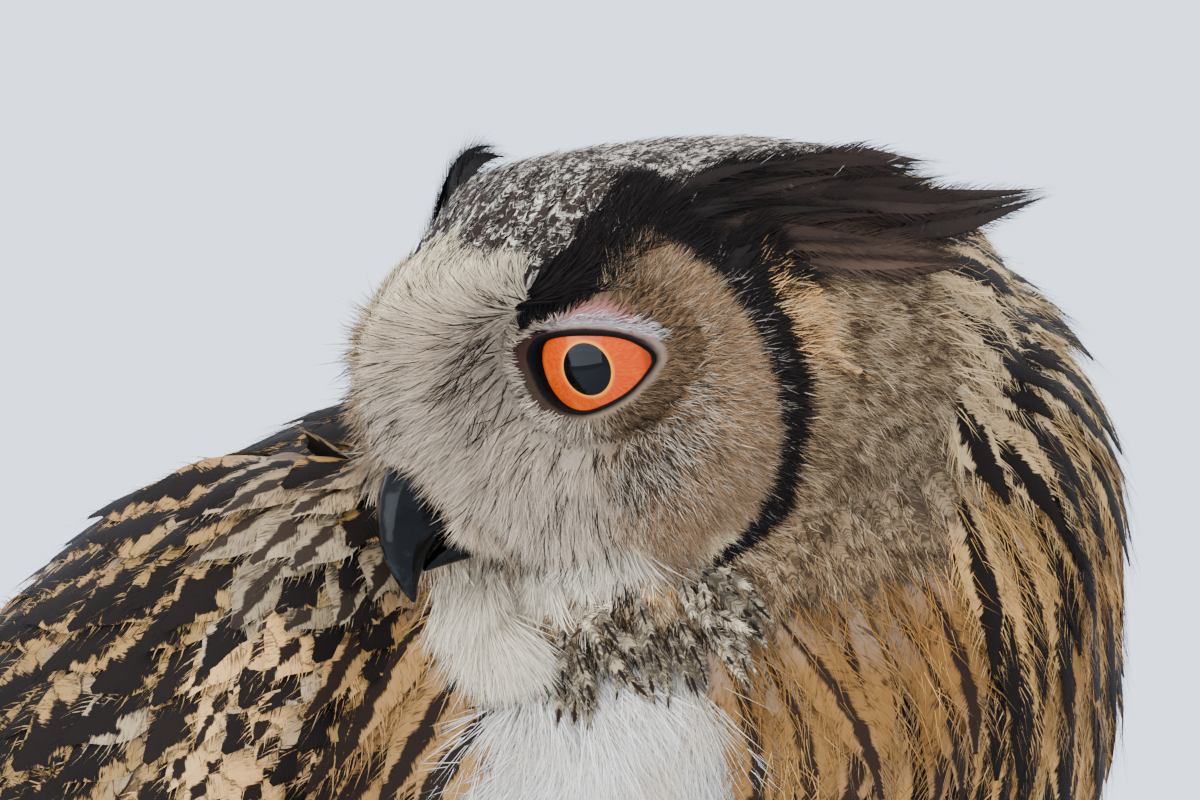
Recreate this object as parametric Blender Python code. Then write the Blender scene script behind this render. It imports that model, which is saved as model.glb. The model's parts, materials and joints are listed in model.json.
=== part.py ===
"""A Eurasian eagle-owl (Bubo bubo), life-size, standing still with its head lowered and turned to its right.

Metres, +Z up. The bird's body faces -Y. The origin is on the floor, below the middle of the model's box.
Each named part of the bird is one closed solid, whose surface is where the tips of the feathers reach.
Head sizes are written in the head's own axes, from the middle of the line between the two eyes:
forward along the bill, to the bird's left, and up through the crown.
"""
import math

import bmesh
import bpy
import numpy as np
from mathutils import Matrix, Vector

MM = 0.001
GAP = 0.4 * MM                        # clearance between two parts that touch
SIDES = (("left", 1), ("right", -1))

# ---- driving dimensions -------------------------------------------------------------------------
EYES_MID = np.array([-0.070, -0.100, 0.345])   # middle of the line between the two irises
HEAD_TURN = math.radians(105)         # how far the head is turned to the bird's right
HEAD_PITCH = math.radians(17)         # how far the bill is lowered

EYE_APART = 63 * MM                   # from iris to iris
EYE_RADIUS = 17.0 * MM
IRIS_RADIUS = 13.0 * MM
EYE_SPLAY = math.radians(27)          # how far each eye looks outwards of straight ahead

HEAD_CENTRE = np.array([-46.0, 0.0, -8.0])     # of the head's round mass, millimetres in head axes
HEAD_REACH_FRONT = 92.0
HEAD_REACH_BACK = 70.0
HEAD_REACH_SIDE = 66.0
HEAD_REACH_UP = 48.0
HEAD_REACH_DOWN = 56.0
HEAD_SLOPE = 0.17                     # how fast the crown falls towards the nape
HEAD_BOXINESS = 2.4                   # exponent of the superellipsoid: 2 is an ellipsoid
FACE_SOFTNESS = 45.0                  # the larger, the rounder the turn from the face to the sides
FACE_BLEND = 0.06                     # how far the round mass and the face are eased into each other

BILL_TIP = (39.6, -41.6)              # forward and up, in head axes
TUFT_TILT = math.radians(52)          # how far the flat of each ear tuft is turned up
TAIL_START = np.array([0, 0.118, 0.138])
TAIL_SLOPE = math.radians(23)
TAIL_LENGTH = 0.215
WING_WRAP = 3.4                       # how tightly the wing's edges curl round the body
TOE_LENGTHS = {"middle": 0.050, "inner": 0.043, "outer": 0.040, "hind": 0.027}
TOE_BEARINGS = {"middle": -5, "inner": 29, "outer": -63, "hind": 178}   # degrees from straight ahead
TALON_LENGTH = 0.031
TALON_RISE = math.radians(18)         # how steeply each talon leaves its toe
TALON_CURVE = math.radians(92)        # how far it has turned down by its tip
TALON_THICK = 0.0049
TALON_CLEAR = 0.3 * MM                # between its tip and the floor
FOOT_HALF_STANCE = 0.056              # from the middle line to each foot
FOOT_Y = -0.012

# ---- how finely each form is faceted ------------------------------------------------------------
HEAD_RINGS, HEAD_SIDES = 17, 26
EYE_RINGS, EYE_SIDES = 9, 16
BILL_UPPER_RINGS, BILL_LOWER_RINGS, BILL_SIDES = 11, 7, 10
TUFT_RINGS, TUFT_SIDES = 9, 12
TRUNK_RINGS, NECK_RINGS, BODY_SIDES = 12, 9, 22
TAIL_RINGS, TAIL_SIDES = 8, 16
WING_RINGS, PRIMARIES_RINGS, WING_SIDES = 11, 6, 18
LEG_RINGS, LEG_SIDES = 6, 16
TOE_RINGS, TOE_SIDES = 5, 8
TALON_RINGS, TALON_SIDES = 7, 6
FINE_STEPS = 8                        # rows worked out between two stations of the body, wing or leg

# ---- colours ------------------------------------------------------------------------------------
COLOURS = {                           # colour, roughness
    "buff": ((0.50, 0.31, 0.15), 0.85),
    "streaked_buff": ((0.42, 0.26, 0.13), 0.85),
    "wing_brown": ((0.20, 0.13, 0.075), 0.80),
    "tuft_black": ((0.035, 0.025, 0.020), 0.80),
    "leg_buff": ((0.55, 0.40, 0.24), 0.90),
    "horn_black": ((0.012, 0.013, 0.016), 0.22),
    "iris_orange": ((0.95, 0.22, 0.02), 0.08),
}

WHOLE = {}                            # each part's surface before anything was cut out of it


# ---- curves and meshes --------------------------------------------------------------------------
def unit(vector):
    vector = np.asarray(vector, float)
    return vector / np.linalg.norm(vector)


def smooth_path(stations, count):
    """Rows read off a smooth curve through the stations: any columns, evenly spaced in station number."""
    rows = np.asarray(stations, float)
    padded = np.vstack([2 * rows[0] - rows[1], rows, 2 * rows[-1] - rows[-2]])
    places = np.linspace(0, len(rows) - 1, count)
    made = []
    for place in places:
        k = min(int(place), len(rows) - 2)
        t = place - k
        a, b, c, d = padded[k:k + 4]
        made.append(0.5 * (2 * b + (c - a) * t + (2 * a - 5 * b + 4 * c - d) * t ** 2
                           + (3 * b - a - 3 * c + d) * t ** 3))
    return np.array(made)


def fine_rows(stations):
    return smooth_path(stations, FINE_STEPS * (len(stations) - 1) + 1)


def between(rows, place):
    """The row at a place between two rows of a table."""
    k = min(int(place), len(rows) - 2)
    return rows[k] * (1 - place + k) + rows[k + 1] * (place - k)


def round_turn(sides):
    """Angles all the way round, as a column."""
    return np.linspace(0, 2 * math.pi, sides, endpoint=False)[:, None]


def tangents(points):
    steps = np.gradient(points, axis=0)
    return steps / np.linalg.norm(steps, axis=1)[:, None]


def mesh_object(name, verts, faces, colour):
    mesh = bpy.data.meshes.new(name)
    mesh.from_pydata([tuple(v) for v in verts], [], faces)
    body = bmesh.new()
    body.from_mesh(mesh)
    bmesh.ops.triangulate(body, faces=body.faces)
    bmesh.ops.recalc_face_normals(body, faces=body.faces)
    body.to_mesh(mesh)
    body.free()
    mesh.shade_smooth()
    obj = bpy.data.objects.new(name, mesh)
    bpy.context.scene.collection.objects.link(obj)
    mesh.materials.append(finish(colour))
    return obj


def loft(name, rings, colour):
    """A closed solid through rings of points, all with the same count, with a fan at each end."""
    rings = np.asarray(rings, float)
    count, sides = rings.shape[:2]
    verts = list(rings.reshape(-1, 3)) + [rings[0].mean(0), rings[-1].mean(0)]
    faces = []
    for k in range(count - 1):
        for j in range(sides):
            n = (j + 1) % sides
            faces.append((k * sides + j, k * sides + n, (k + 1) * sides + n, (k + 1) * sides + j))
    first, last = count * sides, count * sides + 1
    for j in range(sides):
        n = (j + 1) % sides
        faces.append((first, n, j))
        faces.append((last, (count - 1) * sides + j, (count - 1) * sides + n))
    obj = mesh_object(name, verts, faces, colour)
    WHOLE[name] = obj.data.copy()
    return obj


def finish(colour):
    """The material of that name, made once."""
    found = bpy.data.materials.get(colour)
    if found:
        return found
    rgb, roughness = COLOURS[colour]
    material = bpy.data.materials.new(colour)
    material.use_nodes = True
    shader = material.node_tree.nodes["Principled BSDF"]
    shader.inputs["Base Color"].default_value = (*rgb, 1)
    shader.inputs["Roughness"].default_value = roughness
    shader.inputs["Metallic"].default_value = 0
    material.diffuse_color = (*rgb, 1)
    return material


def carve(target, *tools):
    """Cuts each tool, whole and grown by the gap, out of the target, and keeps the target's largest piece."""
    for tool in tools:
        cutter = bpy.data.objects.new("cutter", WHOLE[tool.name].copy())
        bpy.context.scene.collection.objects.link(cutter)
        for vertex in cutter.data.vertices:
            vertex.co += vertex.normal * GAP
        cut = target.modifiers.new("cut", "BOOLEAN")
        cut.operation = "DIFFERENCE"
        cut.solver = "EXACT"
        cut.object = cutter
        bpy.context.view_layer.update()
        graph = bpy.context.evaluated_depsgraph_get()
        made = bpy.data.meshes.new_from_object(target.evaluated_get(graph))
        target.modifiers.remove(cut)
        target.data = made
        bpy.data.objects.remove(cutter)
        keep_largest(target)


def keep_largest(obj):
    """Leaves only the largest of the closed pieces that a cut made, with no needle-thin faces."""
    body = bmesh.new()
    body.from_mesh(obj.data)
    bmesh.ops.remove_doubles(body, verts=body.verts, dist=0.02 * MM)
    bmesh.ops.dissolve_degenerate(body, edges=body.edges, dist=0.02 * MM)
    bmesh.ops.dissolve_limit(body, angle_limit=math.radians(0.6), verts=body.verts, edges=body.edges)
    bmesh.ops.holes_fill(body, edges=[edge for edge in body.edges if edge.is_boundary], sides=8)
    bmesh.ops.triangulate(body, faces=body.faces)
    left = set(body.verts)
    islands = []
    while left:
        island = {left.pop()}
        edge = set(island)
        while edge:
            edge = {e.other_vert(v) for v in edge for e in v.link_edges} - island
            island |= edge
        left -= island
        islands.append(island)
    main = max(islands, key=len)
    bmesh.ops.delete(body, geom=[v for v in body.verts if v not in main], context="VERTS")
    bmesh.ops.recalc_face_normals(body, faces=body.faces)
    body.to_mesh(obj.data)
    body.free()
    obj.data.shade_smooth()


# ---- the head's axes ----------------------------------------------------------------------------
HEAD_FORWARD = np.array([-math.sin(HEAD_TURN) * math.cos(HEAD_PITCH),
                         -math.cos(HEAD_TURN) * math.cos(HEAD_PITCH),
                         -math.sin(HEAD_PITCH)])
HEAD_LEFT = np.array([math.cos(HEAD_TURN), -math.sin(HEAD_TURN), 0.0])
HEAD_UP = np.cross(HEAD_FORWARD, HEAD_LEFT)


def from_head(points):
    """Points in millimetres in head axes, as world points in metres."""
    points = np.asarray(points, float) * MM
    return EYES_MID + points @ np.array([HEAD_FORWARD, HEAD_LEFT, HEAD_UP])


def bump(distance, width):
    return np.exp(-(distance / width) ** 2)


def face_front(left, up):
    """How far forward the face's feathers reach, over the place this far left and up, in millimetres."""
    side = np.abs(left)
    front = 9.0 - 0.0105 * left ** 2 - 0.2 * up - 0.0036 * (up + 4) ** 2
    between_eyes = 1 / (1 + np.exp((up - 33) / 4.0)) / (1 + np.exp((-5 - up) / 4.0))
    front = front + 29.0 * bump(left, 22.0) * between_eyes
    lores = bump(side - 16, 13.0) / (1 + np.exp((up - 2) / 5.0)) / (1 + np.exp((-31 - up) / 4.0))
    front = front + 27.0 * lores
    brow_line = 16 + 0.42 * (side - 10)
    front = front + 10.0 * bump(up - brow_line, 8.0) * bump(side - 27, 22.0)
    around_eye = np.hypot(side - 34, up)
    front = front - 3.0 * bump(around_eye, 13.0)
    chin = 9.0 * bump(up + 44, 12.0) * bump(left, 26.0)
    return front + chin


def inside_head(points):
    """Below zero inside the head, for points in head axes: the round mass, cut off by the face."""
    offset = points - HEAD_CENTRE
    forward = np.where(offset[..., 0] > 0, HEAD_REACH_FRONT, HEAD_REACH_BACK)
    height = offset[..., 2] - HEAD_SLOPE * offset[..., 0]
    upward = np.where(height > 0, HEAD_REACH_UP, HEAD_REACH_DOWN)
    shares = (np.abs(offset[..., 0]) / forward, np.abs(offset[..., 1]) / HEAD_REACH_SIDE,
              np.abs(height) / upward)
    mass = sum(share ** HEAD_BOXINESS for share in shares) ** (1 / HEAD_BOXINESS) - 1
    face = (points[..., 0] - face_front(points[..., 1], points[..., 2])) / FACE_SOFTNESS
    more, less = np.maximum(mass, face), np.minimum(mass, face)
    return more + 0.35 * FACE_BLEND * np.exp((less - more) / FACE_BLEND)


def reach(rays):
    """How far from the head's centre each ray leaves the head, in millimetres."""
    near, far = np.zeros(len(rays)), np.full(len(rays), 140.0)
    for _ in range(40):
        middle = (near + far) / 2
        within = inside_head(HEAD_CENTRE + rays * middle[:, None]) < 0
        near, far = np.where(within, middle, near), np.where(within, far, middle)
    return near


def head_solid():
    """Rings round the line from the bill to the nape, each point where its ray leaves the head."""
    rings = []
    for k in range(HEAD_RINGS):
        slant = math.pi * (k + 0.6) / (HEAD_RINGS + 0.2)
        turn = round_turn(HEAD_SIDES)
        rays = np.hstack([np.full_like(turn, math.cos(slant)), math.sin(slant) * np.cos(turn),
                          math.sin(slant) * np.sin(turn)])
        rings.append(from_head(HEAD_CENTRE + rays * reach(rays)[:, None]))
    return loft("head", rings, "buff")


def eye_solid(name, side):
    """A globe with a bulging cornea. side is 1 for the bird's left eye."""
    axis = np.array([math.cos(EYE_SPLAY), side * math.sin(EYE_SPLAY), 0.0])
    across = np.array([-side * math.sin(EYE_SPLAY), math.cos(EYE_SPLAY), 0.0])
    up = np.array([0.0, 0.0, 1.0])
    iris_depth = math.sqrt(EYE_RADIUS ** 2 - IRIS_RADIUS ** 2)
    iris_middle = np.array([0.0, side * EYE_APART / 2, 0.0])
    centre = iris_middle - axis * iris_depth
    rings = []
    for slant in np.linspace(0.16, math.pi - 0.3, EYE_RINGS):
        bulge = 1.0 + 0.08 * bump(slant, 0.55)
        turn = round_turn(EYE_SIDES)
        rings.append(centre + EYE_RADIUS * bulge * (math.cos(slant) * axis + math.sin(slant)
                     * (np.cos(turn) * across + np.sin(turn) * up)))
    return loft(name, from_head(np.array(rings) / MM), "iris_orange")


def bill_section(forward, up, slope, depth, half_width, edge_sharpness):
    """One ring of the bill, square to its length: a ridge on top, sides that fall to the cutting edge."""
    ring = []
    for turn in round_turn(BILL_SIDES)[:, 0]:
        wide, high = math.sin(turn), math.cos(turn)
        if high > 0:
            high = high ** edge_sharpness
        else:
            wide *= 0.86
        below = (1 - high) / 2 * depth
        ring.append((forward - math.sin(slope) * below, wide * half_width, up - math.cos(slope) * below))
    return ring


def upper_bill():
    """The hooked upper half. Its ridge runs forward from under the forehead, then bends down to the tip."""
    # forward and up of the ridge, direction of the depth (degrees, 0 is straight up), depth, half width
    stations = [
        (20.0, 0.0, 2, 24.0, 7.4),
        (31.0, -7.0, 18, 25.5, 8.6),
        (38.5, -13.0, 38, 24.0, 8.4),
        (42.6, -21.0, 62, 18.5, 6.8),
        (43.4, -29.5, 80, 11.5, 4.5),
        (41.8, -37.0, 94, 5.2, 2.2),
        (BILL_TIP[0], BILL_TIP[1], 104, 1.1, 0.6),
    ]
    rings = [bill_section(f, u, math.radians(slope), depth, half, 0.8)
             for f, u, slope, depth, half in smooth_path(stations, BILL_UPPER_RINGS)]
    return loft("bill_upper", from_head(rings), "horn_black")


def lower_bill():
    """The lower half, tucked behind the hook."""
    stations = [
        (8.0, -27.0, -4, 7.0, 6.8),
        (18.0, -27.6, 4, 8.5, 6.8),
        (27.0, -29.6, 20, 7.0, 5.2),
        (33.4, -33.0, 38, 3.4, 2.6),
        (35.6, -35.0, 48, 1.0, 0.8),
    ]
    rings = [bill_section(f, u, math.radians(slope), depth, half, 0.6)
             for f, u, slope, depth, half in smooth_path(stations, BILL_LOWER_RINGS)]
    return loft("bill_lower", from_head(rings), "horn_black")


def ear_tuft(name, side, front, raised):
    """A long flat brush of feathers, swept back from the brow. raised lifts its middle, in millimetres."""
    # forward, outwards, up, how far its middle clears the head, half width, half thickness
    stations = [
        (*front, -0.5, 3.5, 3.5),
        (-16, 39, 25, 0.5, 7.5, 5.5),
        (-38, 51, 22, 1.5, 11.5, 7),
        (-62, 59, 13, 2.5, 13.5, 7),
        (-84, 61, 5, 4.0, 10, 5),
        (-108, 57, 1, 10.0, 3.0, 2.0),
    ]
    rows = smooth_path(stations, TUFT_RINGS)
    rows[:, 2] += raised * bump(rows[:, 0] + 32, 24)
    rays = rows[:, :3] * (1, side, 1) - HEAD_CENTRE
    rays = rays / np.linalg.norm(rays, axis=1)[:, None]
    centres = HEAD_CENTRE + rays * (reach(rays) + rows[:, 3])[:, None]
    along = tangents(centres)
    rings = []
    for centre, way, half, thick in zip(centres, along, rows[:, 4], rows[:, 5]):
        outwards = unit(np.cross(way, (0.0, -0.35 * side, 1.0)))
        upwards = np.cross(outwards, way)
        turn = round_turn(TUFT_SIDES)
        wide = math.cos(TUFT_TILT) * outwards + side * math.sin(TUFT_TILT) * upwards
        flat = np.cross(way, wide)
        rings.append(centre + half * np.cos(turn) * wide + thick * np.sin(turn) * flat)
    return loft(name, from_head(rings), "tuft_black")


# ---- neck, trunk and tail -----------------------------------------------------------------------
BACKBONE = [
    # x, y, z of the middle, half width, half depth, and how steeply this slice faces up (degrees)
    (0.000, 0.160, 0.112, 0.022, 0.016, 32),
    (0.000, 0.118, 0.144, 0.060, 0.048, 34),
    (0.000, 0.062, 0.187, 0.088, 0.079, 36),
    (0.000, 0.004, 0.232, 0.102, 0.100, 36),
    (0.000, -0.052, 0.263, 0.104, 0.100, 38),
    (0.012, -0.102, 0.289, 0.099, 0.092, 42),
    (0.014, -0.119, 0.322, 0.078, 0.084, 50),
    (0.020, -0.123, 0.350, 0.066, 0.072, 60),
    (0.018, -0.124, 0.373, 0.049, 0.053, 68),
    (0.012, -0.122, 0.385, 0.026, 0.027, 72),
]
NECK_BASE = 5.0                       # where the trunk ends and the neck begins, in stations


def backbone_rings(first, last, count):
    """Slices across the backbone between two places on it, counted in stations."""
    rows = fine_rows(BACKBONE)
    turn = round_turn(BODY_SIDES)
    rings = []
    for place in np.linspace(first, last, count) * FINE_STEPS:
        x, y, z, wide, deep, tilt = between(rows, place)
        back = np.array([0.0, math.sin(math.radians(tilt)), math.cos(math.radians(tilt))])
        rings.append((x, y, z) + wide * np.cos(turn) * (1, 0, 0) + deep * np.sin(turn) * back)
    return np.array(rings)


def trunk_and_neck():
    trunk_rings = backbone_rings(0, NECK_BASE, TRUNK_RINGS)
    neck_rings = backbone_rings(NECK_BASE, len(BACKBONE) - 1, NECK_RINGS)
    way = unit(neck_rings[1].mean(0) - neck_rings[0].mean(0))
    neck_rings[0] += way * GAP
    return loft("trunk", trunk_rings, "streaked_buff"), loft("neck", neck_rings, "streaked_buff")


def tail_solid():
    """Twelve tail feathers, folded to a flat blade with a rounded end."""
    way = np.array([0, math.cos(TAIL_SLOPE), -math.sin(TAIL_SLOPE)])
    over = np.array([0, math.sin(TAIL_SLOPE), math.cos(TAIL_SLOPE)])
    turn = round_turn(TAIL_SIDES)
    # share of the length, half width, half thickness, arch
    stations = [
        (0.00, 0.026, 0.010, 0.004),
        (0.20, 0.038, 0.009, 0.006),
        (0.50, 0.047, 0.007, 0.008),
        (0.80, 0.052, 0.005, 0.009),
        (0.94, 0.044, 0.004, 0.008),
        (1.00, 0.020, 0.002, 0.003),
    ]
    rings = []
    for share, half, thick, arch in smooth_path(stations, TAIL_RINGS):
        across = half * np.cos(turn)
        fall = arch * (across / half) ** 2
        rings.append(TAIL_START + way * share * TAIL_LENGTH + np.array([1.0, 0, 0]) * across
                     + over * (thick * np.sin(turn) - fall))
    return loft("tail", rings, "wing_brown")


WING = [
    # x, y, z of the middle line, half height, half thickness, and how far its face turns up
    (0.084, -0.080, 0.304, 0.012, 0.008, 20),
    (0.094, -0.062, 0.302, 0.040, 0.016, 20),
    (0.104, -0.022, 0.279, 0.058, 0.020, 22),
    (0.107, 0.028, 0.242, 0.066, 0.021, 26),
    (0.094, 0.088, 0.198, 0.063, 0.019, 34),
    (0.068, 0.150, 0.154, 0.047, 0.014, 46),
    (0.043, 0.214, 0.116, 0.030, 0.009, 60),
    (0.027, 0.272, 0.088, 0.017, 0.006, 72),
    (0.021, 0.300, 0.075, 0.005, 0.003, 76),
]
PRIMARIES_BASE = 5.4                  # where the longest feathers leave the wing's cover, in stations


def wing_rings(side, first, last, count):
    rows = fine_rows(WING)
    ways = tangents(rows[:, :3])
    turn = round_turn(WING_SIDES)
    rings = []
    for place in np.linspace(first, last, count) * FINE_STEPS:
        row, way = between(rows, place), unit(between(ways, place))
        facing = math.radians(row[5])
        out = np.array([math.cos(facing), 0.0, math.sin(facing)])
        out = unit(out - way * (out @ way))
        high = np.cross(way, out)
        height = row[3] * np.cos(turn)
        wrap = WING_WRAP * height ** 2
        rings.append((row[:3] + high * height + out * (row[4] * np.sin(turn) - wrap)) * (side, 1, 1))
    return np.array(rings)


def wing_and_primaries(label, side):
    """A folded wing, from the bend at the shoulder along the flank, and its longest feathers."""
    wing = wing_rings(side, 0, PRIMARIES_BASE, WING_RINGS)
    primaries = wing_rings(side, PRIMARIES_BASE, len(WING) - 1, PRIMARIES_RINGS)
    primaries[0] += unit(primaries[1].mean(0) - primaries[0].mean(0)) * GAP
    return loft("wing_" + label, wing, "wing_brown"), loft("primaries_" + label, primaries, "wing_brown")


# ---- legs ---------------------------------------------------------------------------------------
LEG = [
    # x, y, z of the middle, half width, half depth
    (0.050, 0.018, 0.190, 0.034, 0.044),
    (0.052, 0.014, 0.145, 0.039, 0.050),
    (0.054, 0.010, 0.108, 0.033, 0.041),
    (0.056, 0.007, 0.078, 0.024, 0.027),
    (0.056, 0.002, 0.052, 0.019, 0.020),
    (0.056, -0.006, 0.028, 0.018, 0.019),
    (0.056, -0.011, 0.010, 0.019, 0.021),
    (0.056, -0.012, 0.000, 0.017, 0.018),
]
ANKLE = 3.0                           # where the thigh's feathers end and the shank begins, in stations


def leg_rings(side, first, last, count):
    rows = fine_rows(LEG)
    turn = round_turn(LEG_SIDES)
    rings = []
    for place in np.linspace(first, last, count) * FINE_STEPS:
        row = between(rows, place)
        ring = row[:3] + row[3] * np.cos(turn) * (1, 0, 0) + row[4] * np.sin(turn) * (0, 1, 0)
        rings.append(ring * (side, 1, 1))
    return np.array(rings)


def thigh_and_shank(label, side):
    thigh_rings = leg_rings(side, 0, ANKLE, LEG_RINGS)
    shank_rings = leg_rings(side, ANKLE, len(LEG) - 1, LEG_RINGS)
    shank_rings[0][:, 2] -= GAP
    return loft("thigh_" + label, thigh_rings, "leg_buff"), loft("shank_" + label, shank_rings, "leg_buff")


def toe_section(centre, way, half, height):
    """A ring with a round top and a flat sole on the floor."""
    across = unit(np.cross((0.0, 0.0, 1.0), way))
    ring = []
    for turn in round_turn(TOE_SIDES)[:, 0]:
        rise = math.sin(turn)
        on_sole = rise < -0.45
        level = 0.0 if on_sole else height * (0.42 + 0.58 * rise)
        spread = half * math.cos(turn) * (0.78 if on_sole else 1.0)
        ring.append(np.array([centre[0], centre[1], max(level, 0.0)]) + across * spread)
    return ring


def talon_rings(root, way):
    """Rings along an arc that rises a little from the root and then curves down to a point."""
    across = np.cross((0.0, 0.0, 1.0), way)
    arc = TALON_LENGTH / TALON_CURVE
    turn = round_turn(TALON_SIDES)
    rings = []
    for share in np.linspace(0, 1, TALON_RINGS):
        bend = TALON_RISE - TALON_CURVE * share
        radius = TALON_THICK * (1 - share) ** 0.72 + 0.4 * MM
        onward = arc * (math.sin(TALON_RISE) - math.sin(bend))
        climb = arc * (math.cos(bend) - math.cos(TALON_RISE))
        along = way * math.cos(bend) + np.array([0, 0, math.sin(bend)])
        rings.append(root + way * onward + np.array([0, 0, climb])
                     + radius * (0.8 * np.cos(turn) * across + np.sin(turn) * np.cross(across, along)))
    rings = np.array(rings)
    low = rings[..., 2].min()
    if low < TALON_CLEAR:
        rise = np.linspace(0, 1, len(rings))[:, None] ** 1.5
        rings[..., 2] += (TALON_CLEAR - low) * rise
    return rings


def toe_and_talon(label, side, which):
    """A feathered toe with a flat sole, and the curved talon at its end."""
    bearing = math.radians(TOE_BEARINGS[which])
    way = np.array([-side * math.sin(bearing), -math.cos(bearing), 0.0])
    hub = np.array([side * FOOT_HALF_STANCE, FOOT_Y, 0.0])
    length = TOE_LENGTHS[which]
    # share of the length, half width, height
    shape = [(0.0, 0.0120, 0.023), (0.35, 0.0115, 0.021), (0.7, 0.0108, 0.0195), (0.93, 0.0095, 0.0165),
             (1.0, 0.0068, 0.0125)]
    start = hub + way * 0.011
    rings = [toe_section(start + way * length * share, way, half, height)
             for share, half, height in smooth_path(shape, TOE_RINGS)]
    toe = loft(f"toe_{which}_{label}", rings, "leg_buff")
    root = start + way * (length - 4 * MM) + np.array([0, 0, 0.0068])
    return toe, loft(f"talon_{which}_{label}", talon_rings(root, way), "horn_black")


# ---- the whole bird -----------------------------------------------------------------------------
def centre_on_origin(objects):
    """Moves everything so that the middle of the model's box is over the origin, and its feet at zero."""
    points = np.array([vertex.co[:] for obj in objects for vertex in obj.data.vertices])
    low, high = points.min(0), points.max(0)
    shift = Vector((-(low[0] + high[0]) / 2, -(low[1] + high[1]) / 2, -low[2]))
    for obj in objects:
        obj.data.transform(Matrix.Translation(shift))


def build():
    for obj in list(bpy.data.objects):
        bpy.data.objects.remove(obj)
    eyes = [eye_solid("eye_" + label, side) for label, side in SIDES]
    upper, lower = upper_bill(), lower_bill()
    head = head_solid()
    carve(lower, upper)
    carve(head, *eyes, upper, lower)
    tufts = [ear_tuft("ear_tuft_left", 1, (2, 27, 21), 0),
             ear_tuft("ear_tuft_right", -1, (-14, 37, 24), 13)]
    trunk, neck = trunk_and_neck()
    carve(neck, head, lower, upper, *eyes)
    for tuft in tufts:
        carve(tuft, head)
    carve(neck, *tufts)
    wings = [piece for label, side in SIDES for piece in wing_and_primaries(label, side)]
    for wing in wings:
        carve(wing, head)
    carve(trunk, head, upper, lower, *eyes, *tufts, *wings)
    carve(neck, *wings)
    tail = tail_solid()
    carve(tail, trunk, *wings)
    for label, side in SIDES:
        thigh, shank = thigh_and_shank(label, side)
        carve(thigh, trunk, *wings)
        toes = []
        for which in TOE_LENGTHS:
            toe, talon = toe_and_talon(label, side, which)
            carve(toe, shank, talon, *toes)
            toes.append(toe)
    centre_on_origin([obj for obj in bpy.data.objects if obj.type == "MESH"])


build()
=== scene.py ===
"""The looks of the life-size still model of a Eurasian eagle-owl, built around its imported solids.

Metres, +Z up, the bird's body facing -Y. One skin replaces the solids of flesh and lies inside them by the
depth of the coat. The coat is mesh: vanes (feathers with a fringe of barbs) and strands (bristles and down).
Head places are in millimetres in the head's own axes, from the middle of the line between the eyes:
forward along the bill, to the bird's left, and up through the crown.
"""
import json
import math
from types import SimpleNamespace

import bpy
import numpy as np
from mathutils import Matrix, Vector, noise
from mathutils.bvhtree import BVHTree

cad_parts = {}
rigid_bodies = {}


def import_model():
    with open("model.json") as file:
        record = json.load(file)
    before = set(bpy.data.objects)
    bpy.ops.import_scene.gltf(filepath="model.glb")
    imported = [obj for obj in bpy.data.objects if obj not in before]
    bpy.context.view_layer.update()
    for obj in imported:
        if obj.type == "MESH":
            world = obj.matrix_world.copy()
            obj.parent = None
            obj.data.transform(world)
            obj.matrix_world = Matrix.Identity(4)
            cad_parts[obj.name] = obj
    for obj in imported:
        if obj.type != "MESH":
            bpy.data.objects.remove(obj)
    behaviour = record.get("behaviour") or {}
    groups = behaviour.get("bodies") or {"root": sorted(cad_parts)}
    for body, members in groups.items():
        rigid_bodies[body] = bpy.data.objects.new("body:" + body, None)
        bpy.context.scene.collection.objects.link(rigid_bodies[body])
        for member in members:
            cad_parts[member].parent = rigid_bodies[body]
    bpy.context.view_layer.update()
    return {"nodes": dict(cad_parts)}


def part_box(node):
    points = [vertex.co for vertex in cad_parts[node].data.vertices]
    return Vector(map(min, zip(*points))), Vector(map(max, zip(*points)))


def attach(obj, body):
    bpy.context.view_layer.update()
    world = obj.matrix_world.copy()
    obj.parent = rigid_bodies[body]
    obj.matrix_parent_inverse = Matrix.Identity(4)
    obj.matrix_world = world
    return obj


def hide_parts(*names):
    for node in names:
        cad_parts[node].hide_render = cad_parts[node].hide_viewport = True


for obj in list(bpy.data.objects):
    bpy.data.objects.remove(obj)
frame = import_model()

MM = 0.001
SIDES = (("left", 1), ("right", -1))
TOES = ("middle", "inner", "outer", "hind")

# ---- the head's axes, as in the part's source ---------------------------------------------------
HEAD_TURN = math.radians(105)
HEAD_PITCH = math.radians(17)
HEAD_FORWARD = np.array([-math.sin(HEAD_TURN) * math.cos(HEAD_PITCH),
                         -math.cos(HEAD_TURN) * math.cos(HEAD_PITCH),
                         -math.sin(HEAD_PITCH)])
HEAD_LEFT = np.array([math.cos(HEAD_TURN), -math.sin(HEAD_TURN), 0.0])
HEAD_UP = np.cross(HEAD_FORWARD, HEAD_LEFT)
HEAD_AXES = np.array([HEAD_FORWARD, HEAD_LEFT, HEAD_UP])
EYE_BOXES_MID = np.mean([np.mean(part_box("eye_" + label), axis=0) for label, _ in SIDES], axis=0)
EYES_MID = EYE_BOXES_MID + HEAD_FORWARD * 9.5 * MM
EYE_OUT = 31.5                        # from the middle line to each iris, millimetres
EYE_SPLAY = math.radians(27)
EYE_RADIUS = 17.0
IRIS_RADIUS = 13.0
IRIS_DEPTH = math.sqrt(EYE_RADIUS ** 2 - IRIS_RADIUS ** 2)
DISC_FACING = math.radians(39)        # how far the plane of each facial disc faces outwards

rng = np.random.default_rng(11)


# ---- small tools --------------------------------------------------------------------------------
def linear(hex_colour):
    """A colour written as in a paint program, as linear red, green and blue."""
    shade = np.array([int(hex_colour[k:k + 2], 16) for k in (0, 2, 4)]) / 255
    return np.where(shade < 0.04045, shade / 12.92, ((shade + 0.055) / 1.055) ** 2.4)


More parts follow.
